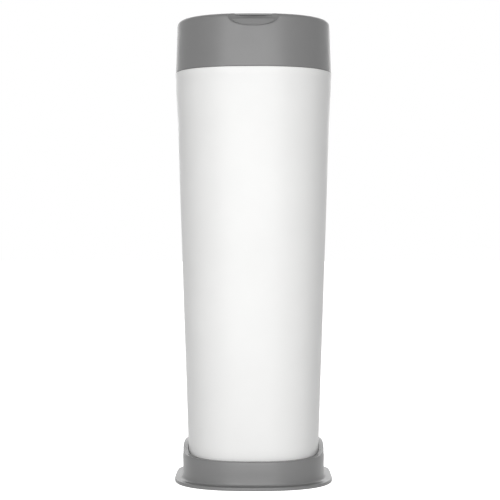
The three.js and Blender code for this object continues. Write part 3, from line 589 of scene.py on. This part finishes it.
# Section of the scoop in the upright plane through the axis at an angle: centre and half axes
def scoopSection(angle, grow=0.0):
    ux, uy = planPoint(1, angle)
    a, b = scoop["half"] + grow, scoop["depth"] + grow
    square = (ux / a) ** 2 + (uy / b) ** 2
    cross = uy * collar["topReach"] / b ** 2
    left = 1 - ((collar["topReach"] / b) ** 2 - cross ** 2 / square)
    if left <= 0:
        return None
    return -cross / square, sqrt(left / square), (scoop["drop"] + grow) * left ** (1 / scoop["spread"])


def insideSection(section, point):
    centre, along, deep = section
    across, down = abs((point[0] - centre) / along), abs((point[1] - collar["top"]) / deep)
    return across ** scoop["power"] + down ** scoop["power"] < 1


# Point of a section at a turn, and the turn of its point at a reach
def sectionPoint(section, turn):
    centre, along, deep = section
    bulge = 2 / scoop["power"]
    across = along * abs(cos(turn)) ** bulge
    return centre + (across if cos(turn) > 0 else -across), collar["top"] - deep * max(sin(turn), 0) ** bulge


def sectionTurn(section, reach):
    share = min(max((reach - section[0]) / section[1], -1), 1)
    square = abs(share) ** (scoop["power"] / 2)
    return acos(square if share > 0 else -square)


def pathLengths(path):
    lengths = [0.0]
    for before, after in zip(path, path[1:]):
        lengths.append(lengths[-1] + hypot(after[0] - before[0], after[1] - before[1]))
    return lengths


def pointAlong(path, lengths, s):
    at = 0
    while at < len(lengths) - 2 and lengths[at + 1] < s:
        at += 1
    share = (s - lengths[at]) / (lengths[at + 1] - lengths[at])
    share = min(max(share, 0), 1)
    return tuple(path[at][k] + share * (path[at + 1][k] - path[at][k]) for k in (0, 1))


# The collar's outside up its face and over the shoulder to the ledge, in rows that the scoop can move
def collarPath():
    foot, top, recess = valuesOf(collar, "footReach", "topReach", "recessReach")
    low, high = collar["bottom"] + 0.5, collar["top"] - collar["shoulderHeight"]
    shares = [1 - (1 - row / collar["leanRows"]) ** collar["leanPower"] for row in range(collar["leanRows"])]
    face = [(foot + (top - foot) * share, low + (high - low) * share) for share in shares]
    shoulder = arcOf((recess, high), (collar["shoulderWidth"], collar["shoulderHeight"]),
                     0, collar["shoulderDegrees"], 22)
    drop = filleted([shoulder[-1], (recess, collar["top"], 0.5), (recess, collar["ledgeTop"] + 0.1)], steps=4)
    rows = collar["ledgeRows"]
    ledge = [(recess - collar["ledgeRun"] * k / rows, collar["ledgeTop"]) for k in range(rows)]
    return face + shoulder + drop[1:] + ledge


# The rest of the outline: the ledge's edge, the inside of the wall, and the skirt with its seal groove
def collarInside():
    foot, wall, bottom = valuesOf(collar, "footReach", "wall", "bottom")
    ledge, ledgeTop, ledgeBottom = valuesOf(collar, "ledgeReach", "ledgeTop", "ledgeBottom")
    skirt, skirtInner, skirtBottom = valuesOf(collar, "skirtReach", "skirtInner", "skirtBottom")
    sealTop, sealBottom, sealReach = collar["sealTop"], collar["sealBottom"], skirt - collar["sealSink"]
    footTop = bottom + collar["footThick"]
    return filleted([
        (collar["recessReach"] - 1, ledgeTop), (ledge, ledgeTop, 0.4), (ledge, ledgeBottom, 0.4),
        (collar["topReach"] - wall, ledgeBottom, 0.8), (foot - wall, footTop, 0.8),
        (skirtInner, footTop, 0.8), (skirtInner, skirtBottom, 0.4), (skirt, skirtBottom, 0.6),
        (skirt, sealBottom), (sealReach, sealBottom), (sealReach, sealTop), (skirt, sealTop),
        (skirt, bottom), (foot - 0.5, bottom)], steps=3)[1:]


# Angles of the columns: close together across the scoop, and even round the rest
def collarAngles():
    half = scoop["half"] + scoop["margin"]
    count = ceil(2 * half / scoop["spacing"])
    xs = [-half + 2 * half * k / count for k in range(count + 1)]
    angles = [atan2(-planDepth(collar["topReach"], x), x) for x in xs]
    turn = 2 * pi - (angles[-1] - angles[0])
    others = collar["evenColumns"]
    return angles + [angles[-1] + turn * k / others for k in range(1, others)]


# For each column its angle, the scoop's section there, and where the path enters and leaves it
def scoopCuts(path, lengths):
    steps = scoop["searchSteps"]
    whole = lengths[-1]
    cuts = []
    for angle in collarAngles():
        section = scoopSection(angle) if sin(angle) < 0 else None
        crossing = None
        if section:
            inside = [insideSection(section, pointAlong(path, lengths, whole * k / steps))
                      for k in range(steps + 1)]
            if any(inside):
                first, last = inside.index(True), steps - inside[::-1].index(True)
                crossing = (whole * (first - 0.5) / steps, whole * (last + 0.5) / steps)
        cuts.append((angle, section, crossing))
    return cuts


# A column of the path in the scoop: the rows from the edge on follow the hollow
def scoopedColumn(path, lengths, edge, section, crossing):
    entry, leave = crossing
    column = [pointAlong(path, lengths, s * entry / lengths[edge]) for s in lengths[:edge]]
    after = next(k for k in range(edge + 1, len(lengths)) if lengths[k] >= leave)
    start, end = pointAlong(path, lengths, entry), pointAlong(path, lengths, leave)
    first, last = sectionTurn(section, start[0]), sectionTurn(section, end[0])
    for k in range(edge, after + 1):
        column.append(sectionPoint(section, first + (last - first) * (k - edge) / (after - edge)))
    column[edge], column[after] = start, end
    column += path[after + 1:]
    low, high = max(edge - 1, 1), min(edge + 1, after - 1)  # the moulded edge is soft
    column[low:high + 1] = [
        tuple(0.25 * column[k - 1][c] + 0.5 * column[k][c] + 0.25 * column[k + 1][c] for c in (0, 1))
        for k in range(low, high + 1)]
    return column


def onPlan(outline, angle):
    return [(*planPoint(reach, angle), height) for reach, height in outline]


def makeCollarShell(cuts, path, lengths):
    edgeStart = next(crossing[0] for _, _, crossing in cuts if crossing)
    edge = min(range(len(lengths)), key=lambda k: abs(lengths[k] - edgeStart))
    inside = collarInside()
    columns = []
    for angle, section, crossing in cuts:
        outside = scoopedColumn(path, lengths, edge, section, crossing) if crossing else path
        columns.append(onPlan(outside + inside, angle))
    piece = makeMesh("collar_shell_fine", [skinOver(columns)], 40)
    front, rear, above = hinge["notchFront"], hinge["cutReach"], collar["top"] + 5
    notches = ((hinge["notchHalf"], hinge["shallowFloor"]), (hinge["deepHalf"], hinge["notchFloor"]))
    for half, floor in notches:
        cutAway(piece, [barAcross(half, front, rear, floor, above)], 40)
    finished(piece, satinAbs, "collar", "collar_shell")


# Plate from the notch's front wall out to just inside the collar's face, between two x values
def notchPlate(fromX, toX, steps, low, high):
    front = hinge["notchFront"] - hinge["notchWall"]
    xs = [fromX + (toX - fromX) * k / steps for k in range(steps + 1)]
    outline = [(x, planDepth(collar["topReach"], x) - hinge["skinClear"]) for x in xs]
    return plateOf(outline + [(toX, front), (fromX, front)], low, high)


# Thin wall behind the scoop, from the collar's face to the underside of the ledge
def scoopBacking(cuts):
    columns = []
    for angle, _, crossing in cuts:
        grown = scoopSection(angle, scoop["backing"]) if crossing else None
        if grown:
            start = sectionTurn(grown, scoop["backReach"])
            drop = min((collar["top"] - collar["ledgeBottom"] - 0.5) / grown[2], 1)
            end = max(pi - asin(drop ** (scoop["power"] / 2)), start + 0.01)
            steps = scoop["backSteps"]
            turns = [start + (end - start) * k / steps for k in range(steps + 1)]
            columns.append(onPlan([sectionPoint(grown, turn) for turn in turns], angle))
    return skinOver(columns, ring=False, wrap=False)


# Walls of the hinge notch, backing of the scoop, and screw bosses
def makeCollarWalls(cuts):
    half, front, floor, wall = valuesOf(hinge, "notchHalf", "notchFront", "notchFloor", "notchWall")
    wallTop = collar["ledgeTop"] - 0.01
    walls = [barAcross(half + wall, front - wall, front, floor - wall, wallTop),
             notchPlate(half, -half, 40, floor - wall, floor)]
    rear = planDepth(collar["topReach"], half + wall) - hinge["skinClear"] + 0.1
    for side in (-1, 1):
        # closes the hollow under the shallow part of the notch
        walls.append(notchPlate(side * (hinge["deepHalf"] + 0.05), side * (half + 1), 16,
                                floor - 1, collar["ledgeBottom"] + 1))
        low, high = sorted((side * half, side * (half + wall)))
        walls.append(block((low, front - wall, floor - wall), (high, rear, wallTop)))
    walls.append(scoopBacking(cuts))
    hole, bottom, top = collar["bossHole"], collar["bossBottom"], collar["ledgeBottom"] + 0.5
    boss = [(hole, bottom), (collar["bossRadius"], bottom, 0.4), (collar["bossRadius"], top), (hole, top)]
    walls += atCorners(spun(filleted(boss), roundPoint, steps=40), collar["bossPlace"])
    finished(makeMesh("collar_inner_walls", walls), satinAbs, "collar")


def makeHingeEars():
    y, z, radius, root = hinge["y"], hinge["z"], hinge["radius"], hinge["notchFloor"] - 0.5
    profile = [(y + radius, root)] + arcOf((y, z), (radius, radius), 0, 180, 24) + [(y - radius, root)]
    ears = []
    for side in (-1, 1):
        low, high = sorted((side * hinge["earStart"], side * hinge["earEnd"]))
        ears.append(plateAcross(profile, low, high))
    turns = [2 * pi * k / hinge["pinSteps"] for k in range(hinge["pinSteps"])]
    hole = [(y + hinge["pinHole"] * cos(turn), z + hinge["pinHole"] * sin(turn)) for turn in turns]
    piece = cutAway(makeMesh("hinge_ears", ears), [plateAcross(hole, -50, 50)])
    finished(softened(piece, hinge["earRound"], 2, 50), satinAbs, "collar")


def makeCollar():
    path = collarPath()
    lengths = pathLengths(path)
    cuts = scoopCuts(path, lengths)
    makeCollarShell(cuts, path, lengths)
    makeCollarWalls(cuts)
    makeHingeEars()


makeCollar()
print("collar made")


# flip lid: flush in the collar, with a low crown, and a barrel on a web for the hinge
lid = {
    "bottom": 633.9, "top": 636.5, "reach": 98.2, "edgeRound": 0.9, "crown": 1.5, "crownSteps": 24,
    "barrelHalf": 36.0, "barrelRadius": 4.5, "webDepth": 9.0,
}


def makeLid():
    bottom, top, reach = valuesOf(lid, "bottom", "top", "reach")
    shares = [1 - k / lid["crownSteps"] for k in range(1, lid["crownSteps"] + 1)]
    crown = [(reach * share, top + lid["crown"] * (1 - share ** 2)) for share in shares]
    outline = filleted([
        (0, bottom), (reach, bottom, 0.5), (reach, top, lid["edgeRound"]), crown[0]], steps=6) + crown[1:]
    standIn("flip_lid", [spun(outline)], satinAbs, "lid")
    half, radius, rear = lid["barrelHalf"], lid["barrelRadius"], hinge["y"]
    barrelOutline = filleted([(0, -half), (radius, -half, 0.5), (radius, half, 0.5), (0, half)], steps=4)
    barrel = moved(spun(barrelOutline, roundPoint, steps=64), hingePlace)
    web = barAcross(half, rear - lid["webDepth"], rear, bottom, top)
    finished(makeMesh("lid_hinge_barrel", [barrel, web]), satinAbs, "lid")


makeLid()
print("lid made")

# seals: rubber rings with soft lips, round the collar's skirt and under the lid
seals = {
    "rim": [(103.5, 557.3), (104.3, 557.3, 0.2), (104.7, 557.7, 0.15), (104.7, 558.1, 0.15),
            (104.2, 558.5, 0.15), (104.7, 558.9, 0.15), (104.7, 559.3, 0.15), (104.3, 559.7, 0.2),
            (103.5, 559.7)],
    "lid": [(87.5, 631.1), (88.4, 631.1, 0.2), (89.7, 632.2, 0.3), (89.7, 632.5, 0.3), (88.4, 633.6, 0.2),
            (88.1, 632.6, 0.3), (87.5, 632.4)],
}


def makeSeals():
    for name, body in (("rim", "collar"), ("lid", "lid")):
        standIn(name + "_seal", [spunRing(seals[name], filletSteps=3)], mattRubber, body)


makeSeals()


# cassette deck: a round well in a flange of the plan's outline, hung from the collar by four screws
deck = {
    "bore": 58.0, "bottom": 572.0, "floorTop": 575.0, "wellOuter": 88.0, "wellInner": 86.0, "top": 629.1,
    "flangeReach": 102.4, "flangeBottom": 607.8, "flangeTop": 610.8, "lipReach": 93.0, "lipBottom": 626.6,
    "scoopSide": 39.6, "scoopBack": -90.4, "hingeSide": 63.1, "hingeFront": 89.4, "cutReach": 110,
    "screwPlace": 97.6, "screwHole": 1.9, "ribs": 12, "ribThick": 1.8, "ribDeep": 20.0, "ribWide": 9.0,
}


def deckPoint(reach, angle):
    return roundPoint(reach, angle) if reach < deck["wellOuter"] else planPoint(reach, angle)


def makeDeck():
    outer, inner, bore = valuesOf(deck, "wellOuter", "wellInner", "bore")
    bottom, floorTop, top = valuesOf(deck, "bottom", "floorTop", "top")
    standIn("cassette_deck", [spunRing([
        (bore, bottom, 0.8), (outer, bottom, 2.0), (outer, top, 0.5), (inner, top, 0.5),
        (inner, floorTop, 0.8), (bore, floorTop, 1.0)], roundPoint)], innerAbs, "collar")

    low, high, hole = valuesOf(deck, "flangeBottom", "flangeTop", "screwHole")
    flange = makeMesh("deck_flange", [
        spunRing(rectangle(outer - 1, deck["flangeReach"], low, high, 0, 0.6, 0.6, 0), deckPoint)])
    shaft = spun([(0, low - 2), (hole, low - 2), (hole, high + 2), (0, high + 2)], roundPoint, steps=40)
    cutAway(flange, atCorners(shaft, deck["screwPlace"]))

    lip = makeMesh("deck_lip", [
        spunRing(rectangle(outer - 1, deck["lipReach"], deck["lipBottom"], top, 0, 0.5, 0.5, 0), deckPoint)])
    under, over, beyond = deck["lipBottom"] - 2, top + 2, deck["cutReach"]
    cutAway(lip, [
        barAcross(deck["scoopSide"], -beyond, deck["scoopBack"], under, over),
        barAcross(deck["hingeSide"], deck["hingeFront"], beyond, under, over)])

    rib = uprightPlate([(outer - 0.5, low - deck["ribDeep"]), (outer + deck["ribWide"], low + 0.5),
                        (outer - 0.5, low + 0.5)], deck["ribThick"])
    ribs = [turnedTo(rib, (k + 0.5) * 360 / deck["ribs"]) for k in range(deck["ribs"])]
    for piece in (flange, lip, softened(makeMesh("deck_ribs", ribs), 0.3, 2)):
        finished(piece, innerAbs, "collar")


makeDeck()

# deck screws: pan heads with a cross recess, and a coarse thread for plastic
screw = {
    "headRadius": 3.2, "headHigh": 2.0, "headFlat": 2.2, "headEdge": 0.9, "radius": 1.6, "core": 1.25,
    "length": 12.0, "pitch": 1.3, "threadStart": 0.5, "pointLong": 2.6, "pointRadius": 0.4, "seat": 607.5,
    "crossWide": 0.9, "crossLong": 3.4, "crossDeep": 1.1,
}


def makeScrews():
    head, radius, core, pitch, length = valuesOf(screw, "headHigh", "radius", "core", "pitch", "length")
    outline = [(0, -head), (screw["headFlat"], -head, 0.8), (screw["headRadius"], -screw["headEdge"], 0.5),
               (screw["headRadius"], 0, 0.2), (radius, 0)]
    height = screw["threadStart"]
    while height < length - screw["pointLong"]:
        outline += [(core, height), (core, height + pitch * 0.45), (radius, height + pitch * 0.72)]
        height += pitch
    outline += [(core, height), (screw["pointRadius"], length), (0, length)]
    body = spun(filleted(outline, steps=3), roundPoint, steps=40)
    far, near = screw["crossLong"] / 2, screw["crossWide"] / 2
    cross = [(-far, -near), (-near, -near), (-near, -far), (near, -far), (near, -near), (far, -near),
             (far, near), (near, near), (near, far), (-near, far), (-near, near), (-far, near)]
    for number, angle in enumerate(plan["cornerDegrees"], 1):
        name = "deck_screw_%d" % number
        piece = makeMesh(name + "_fine", [body])
        cutAway(piece, [plateOf(cross, -head - 1, -head + screw["crossDeep"])])
        x, y = planPoint(deck["screwPlace"], radians(angle))
        piece.data.transform(Matrix.Translation((x / 1000, y / 1000, screw["seat"] / 1000)))
        finished(piece, platedSteel, "collar", name)


makeScrews()
print("deck made")

# grip fingers: eight springy tongues on a ring, which close on the film
fingers = {
    "inner": 58.3, "outer": 66.3, "bottom": 566.7, "top": 571.7, "count": 8, "long": 34.0, "rootHalf": 7.5,
    "tipHalf": 4.5, "thick": 1.6, "droop": 32.0, "rootReach": 59.9, "rootHeight": 568.3, "tipRound": 3.2,
}


def makeFingers():
    inner, outer, bottom, top = valuesOf(fingers, "inner", "outer", "bottom", "top")
    band = rectangle(inner, outer, bottom, top, 0.8, 1.0, 0.5, 0.5)
    standIn("grip_finger_ring", [spunRing(band, roundPoint)], waxyPolypropylene, "collar")
    long, root, tip, tipRound = valuesOf(fingers, "long", "rootHalf", "tipHalf", "tipRound")
    outline = filleted([(0, -root), (long, -tip, tipRound), (long, tip, tipRound), (0, root)],
                       closed=True, steps=6)
    points, faces = plateOf(outline, 0, fingers["thick"])
    droop = radians(fingers["droop"])
    bent = [(fingers["rootReach"] - u * cos(droop) - t * sin(droop), v,
             fingers["rootHeight"] - u * sin(droop) + t * cos(droop)) for u, v, t in points]
    tongues = [turnedTo((bent, faces), at * 360 / fingers["count"]) for at in range(fingers["count"])]
    finished(softened(makeMesh("grip_fingers", tongues), 0.45, 3), waxyPolypropylene, "collar")


makeFingers()

# hinge pins: drawn steel wire with chamfered ends
pin = {"radius": 1.5, "from": 27.0, "to": 44.0, "chamfer": 0.3}


def makePins():
    radius, chamfer = pin["radius"], pin["chamfer"]
    for side, name in ((-1, "left"), (1, "right")):
        low, high = sorted((side * pin["from"], side * pin["to"]))
        outline = [(0, low), (radius - chamfer, low), (radius, low + chamfer),
                   (radius, high - chamfer), (radius - chamfer, high), (0, high)]
        wire = moved(spun(outline, roundPoint, steps=40), hingePlace)
        standIn("hinge_pin_" + name, [wire], platedSteel, "collar")


makePins()

# panel under the lid: a shallow dish with moulded rings and a lip that holds the seal
panel = {
    "bottom": 630.0, "top": 633.6, "lipReach": 88.4, "edge": 87.2, "lipTop": 630.8, "dish": 1.2,
    "dishReach": 79.0, "ringReaches": (34.0, 58.0), "ringProud": 0.5, "ringHalf": 1.4, "ringFlat": 0.5,
}


def makePanel():
    bottom, lipTop, half, flat = valuesOf(panel, "bottom", "lipTop", "ringHalf", "ringFlat")
    dished = bottom + panel["dish"]
    proud = dished - panel["ringProud"]
    outline = [(0, dished)]
    for reach in panel["ringReaches"]:
        outline += [(reach - half, dished, 0.6), (reach - flat, proud, 0.5),
                    (reach + flat, proud, 0.5), (reach + half, dished, 0.6)]
    outline += [(panel["dishReach"], dished, 1.0), (panel["dishReach"] + panel["dish"], bottom, 1.0),
                (panel["lipReach"], bottom, 0.3), (panel["lipReach"], lipTop, 0.2),
                (panel["edge"], lipTop, 0.2), (panel["edge"], panel["top"], 0.4), (0, panel["top"])]
    standIn("lid_inner_panel", [spun(filleted(outline))], innerAbs, "lid")


makePanel()
print("fingers, pins and lid panel made")

# twist ring: a skirt round the cassette, a flat top, three finger grips and the cutter's housing
ring = {
    "innerRadius": 83.0, "radius": 85.4, "skirtBottom": 575.3, "bottom": 611.6, "top": 614.6,
    "bore": 57.0, "edgeRound": 1.0,
    "gripDegrees": (0, 90, 180), "gripMiddle": 72.0, "gripHalf": 10.0, "gripHigh": 10.0, "gripWide": 8.0,
    "houseStart": 43.0, "houseEnd": 66.0, "houseHalf": 9.0, "houseTop": 619.5,
    "slotStart": 45.5, "slotEnd": 50.3, "slotHalf": 4.3,
}


def makeTwistRing():
    inner, outer, bore, skirt = valuesOf(ring, "innerRadius", "radius", "bore", "skirtBottom")
    bottom, top, edge = valuesOf(ring, "bottom", "top", "edgeRound")
    standIn("twist_ring", [spunRing([
        (inner, skirt, 0.4), (outer, skirt, 0.4), (outer, top, edge), (bore, top, edge),
        (bore, bottom, 0.4), (inner, bottom, 0.5)], roundPoint)], innerAbs, "ring")
    middle, half = ring["gripMiddle"], ring["gripHalf"]
    hump = arcOf((middle, top), (half, ring["gripHigh"]), 0, 180, 24)
    grip = uprightPlate([(middle + half, top - 1)] + hump + [(middle - half, top - 1)], ring["gripWide"])
    grips = makeMesh("ring_grips", [turnedTo(grip, angle) for angle in ring["gripDegrees"]])
    finished(softened(grips, 1.6, 4), innerAbs, "ring")
    houseTop = ring["houseTop"]
    house = makeMesh("cutter_house", [
        blockInFront(ring["houseStart"], ring["houseEnd"], ring["houseHalf"], bottom, houseTop)])
    cutAway(house, [
        blockInFront(ring["slotStart"], ring["slotEnd"], ring["slotHalf"], bottom - 2, houseTop + 2)])
    finished(softened(house, 0.7, 3), innerAbs, "ring")


makeTwistRing()

# refill cassette: tray, sleeve and cap of thin blue plastic, with the slot that lets the film out
cassette = {
    "tray": [(53.7, 575.3, 0.2), (82.0, 575.3, 1.0), (82.0, 609.0, 0.3), (80.6, 609.0, 0.3),
             (80.6, 576.7, 0.8), (53.7, 576.7, 0.3)],
    "sleeve": [(52.0, 575.3, 0.4), (53.4, 575.3, 0.2), (53.4, 604.0, 0.6), (52.0, 604.0, 0.6)],
    "cap": [(57.5, 606.0, 0.4), (58.9, 606.0, 0.4), (58.9, 609.3, 0.5), (82.0, 609.3, 0.2),
            (82.0, 611.3, 0.7), (76.0, 611.3, 0.3), (75.4, 610.8, 0.3), (66.0, 610.8, 0.3),
            (65.4, 611.3, 0.3), (57.5, 611.3, 0.9)],
}


def makeCassette():
    for name, outline in cassette.items():
        standIn("cassette_" + name, [spunRing(outline, roundPoint, 4)], refillPolypropylene, "ring")


makeCassette()

# film pack: the tube of film pushed together into a ring of fine folds
pack = {
    "inner": 54.6, "outer": 79.4, "bottom": 577.0, "top": 597.9, "folds": 14, "foldDeep": 0.7,
    "wrinkle": 0.45, "around": 288, "topRound": 1.2, "topSteps": 12,
}


def makeFilmPack():
    inner, outer, bottom, top, turn = valuesOf(pack, "inner", "outer", "bottom", "top", "topRound")
    pitch = (top - 0.8 - bottom) / pack["folds"]
    folds = [(pack["foldDeep"] * (0.5 + 0.5 * cos(pi * (k % 4) / 2)), bottom + pitch * k / 4)
             for k in range(4 * pack["folds"])]
    steps = pack["topSteps"]
    outline = [(outer - deep, height) for deep, height in folds]
    outline += [(outer - 0.5, top - 0.6), (outer - turn, top - 0.1)]
    outline += [(outer - turn - (outer - inner - 2 * turn) * k / steps, top - 0.3) for k in range(1, steps)]
    outline += [(inner + turn, top - 0.1), (inner + 0.5, top - 0.6)]
    outline += [(inner + deep, height) for deep, height in reversed(folds)]

    # the layers are crushed unevenly, more so towards the top
    def wrinkled(x, y, z):
        angle, reach = atan2(y, x), hypot(x, y)
        ux, uy = cos(angle), sin(angle)
        crease = noise.noise(Vector((9 * ux, 9 * uy, reach / 16)))
        crease += 0.5 * noise.noise(Vector((31 * ux, 31 * uy, reach / 7)))
        return x, y, z - pack["wrinkle"] * (z - bottom) / (top - bottom) * (0.6 + crease)

    body = spun(outline, roundPoint, ring=True, steps=pack["around"], shift=wrinkled)
    standIn("film_pack", [body], packedFilm, "ring", 60)


makeFilmPack()
print("ring and cassette made")

# film liner: the tube of film drawn over the sleeve, pulled in by the fingers and knotted at its end.
# The path gives reach, height, and how deep the film is gathered there.
film = {
    "path": [
        (55.45, 598.3, 0.0), (55.45, 604.0, 0.0), (54.425, 606.05, 0.0), (52.275, 606.05, 0.0),
        (51.25, 604.0, 0.0), (51.25, 575.3, 0.0), (47.0, 566.7, 0.25), (27.6, 550.3, 2.1),
        (28.8, 535.4, 2.2), (34.9, 513.2, 2.0), (36.0, 493.9, 1.9), (31.0, 473.2, 2.1),
        (18.0, 456.9, 2.4), (7.9, 446.5, 1.9), (7.0, 442.0, 1.6), (11.4, 435.5, 1.9),
        (12.2, 430.0, 1.7), (10.2, 424.5, 1.5), (6.2, 419.8, 1.4), (7.0, 414.8, 1.7),
        (9.8, 410.0, 2.4), (12.0, 402.0, 3.0)],
    "folds": 23, "sideFolds": 41, "sideShare": 0.35, "lumpShare": 0.35, "squeeze": 0.4,
    "around": 416, "rows": 150, "thick": 0.3, "sleeveReach": 51.25,
    "knotTop": 446.5, "knotLong": 26, "knotTwist": 1.6,
}


# Value of a smooth curve through the given values
def smoothed(values, share):
    place = share * (len(values) - 1)
    at = min(int(place), len(values) - 2)
    t = place - at
    before, after = values[max(at - 1, 0)], values[min(at + 2, len(values) - 1)]
    a, b = values[at], values[at + 1]
    square, cube = 2 * before - 5 * a + 4 * b - after, 3 * a - before - 3 * b + after
    return 0.5 * (2 * a + (b - before) * t + square * t * t + cube * t ** 3)


def filmRows():
    path = film["path"]
    lengths = pathLengths(path)
    rows = []
    for row in range(film["rows"] + 1):
        reached = lengths[-1] * row / film["rows"]
        at = max(k for k in range(len(lengths) - 1) if lengths[k] <= reached + 1e-9)
        share = (at + (reached - lengths[at]) / (lengths[at + 1] - lengths[at])) / (len(path) - 1)
        rows.append([smoothed(values, share) for values in zip(*path)])
    return rows


# One column of the film's surface: pleats, their slow wander, the twist of the knot, and lumps
def filmColumn(rows, angle, inset):
    def waves(count, height, wander=0.0):
        return noise.noise(Vector((count * cos(angle) + wander, count * sin(angle), height)))

    column = []
    for row, (reach, height, gather) in enumerate(rows):
        before, after = rows[max(row - 1, 0)], rows[min(row + 1, len(rows) - 1)]
        along = Vector((after[0] - before[0], after[1] - before[1])).normalized()
        twist = film["knotTwist"] * min(max((film["knotTop"] - height) / film["knotLong"], 0), 1)
        turned = angle + twist + 0.3 * waves(2.2, height / 60)
        fold = (0.7 + 0.9 * waves(5, height / 26)) * sin(film["folds"] * turned)
        fold += film["sideShare"] * sin(film["sideFolds"] * turned + 1.3 + height / 9)
        deep = max(gather, 0) * fold * min(1.0, reach / 9)
        lump = film["lumpShare"] * max(gather, 0) * waves(1.5, height / 22, 7)
        squeeze = film["squeeze"] if gather > 0.2 else 0.0
        radius = max(reach + deep + lump - squeeze + inset * along[1], 1.0)
        column.append((radius * cos(angle), radius * sin(angle), height - inset * along[0]))
    return column


def makeFilmLiner():
    rows = filmRows()
    columns = []
    for step in range(film["around"]):
        angle = 2 * pi * step / film["around"]
        columns.append(filmColumn(rows, angle, 0.0) + filmColumn(rows, angle, film["thick"])[::-1])
    piece = standIn("film_liner", [skinOver(columns)], blownFilm, "ring", 75)


makeFilmLiner()
print("film made")

# cutter: a thumb slider with a slotted stem, and the blade in it
cutter = {
    "stemStart": 45.8, "stemEnd": 50.0, "stemHalf": 4.0, "stemBottom": 613.2, "thumbStart": 44.0,
    "thumbEnd": 60.0, "thumbHalf": 7.0, "thumbBottom": 624.8, "thumbTop": 627.3, "thumbRound": 2.0,
    "grooves": 5, "groovePitch": 2.1, "grooveHalf": 0.45, "grooveReach": 5.2, "grooveDeep": 0.45,
    "bladeStart": 46.45, "bladeEnd": 49.35, "bladeTop": 616.8, "bladeTip": 605.6, "bladeSlant": 3.4,
    "bladeThick": 0.8, "edgeShare": 0.12, "bevelHigh": 1.4, "slotGap": 0.3,
}


def makeSlider():
    bottom, gap = cutter["stemBottom"], cutter["slotGap"]
    slider = makeMesh("cutter_slider_fine", [blockInFront(
        cutter["stemStart"], cutter["stemEnd"], cutter["stemHalf"], bottom, cutter["thumbBottom"] + 0.6)])
    cutAway(slider, [blockInFront(
        cutter["bladeStart"] - gap, cutter["bladeEnd"] + gap, cutter["bladeThick"] / 2 + gap,
        bottom - 1, cutter["bladeTop"] + gap)])
    finished(softened(slider, 0.3, 2), satinAbs, "cutter", "cutter_slider")


def makeThumb():
    start, end, top = valuesOf(cutter, "thumbStart", "thumbEnd", "thumbTop")
    thumb = makeMesh("cutter_thumb", [blockInFront(
        start, end, cutter["thumbHalf"], cutter["thumbBottom"], top, cutter["thumbRound"])])
    softened(thumb, 0.6, 3)
    half, count, grooves = cutter["grooveHalf"], cutter["grooves"], []
    for groove in range(count):
        place = (start + end) / 2 + (groove - (count - 1) / 2) * cutter["groovePitch"]
        grooves.append(blockInFront(
            place - half, place + half, cutter["grooveReach"], top - cutter["grooveDeep"], top + 1))
    finished(cutAway(thumb, grooves), satinAbs, "cutter")


# Outline of the blade, with its slanted lower end raised
def bladeOutline(raised):
    start, end, top, tip = valuesOf(cutter, "bladeStart", "bladeEnd", "bladeTop", "bladeTip")
    return [(start, top), (start, tip + cutter["bladeSlant"] + raised), (end, tip + raised), (end, top)]


def makeBlade():
    points, faces = uprightPlate(bladeOutline(0), cutter["bladeThick"])
    groundTop = cutter["bladeTip"] + cutter["bladeSlant"] + 0.01
    ground = [(x, y * cutter["edgeShare"] if z < groundTop else y, z) for x, y, z in points]
    flat = uprightPlate(bladeOutline(cutter["bevelHigh"]), cutter["bladeThick"])
    standIn("cutter_blade", [facingFront((ground, faces)), facingFront(flat)], platedSteel, "cutter", 10)


makeSlider()
makeThumb()
makeBlade()
print("cutter made")
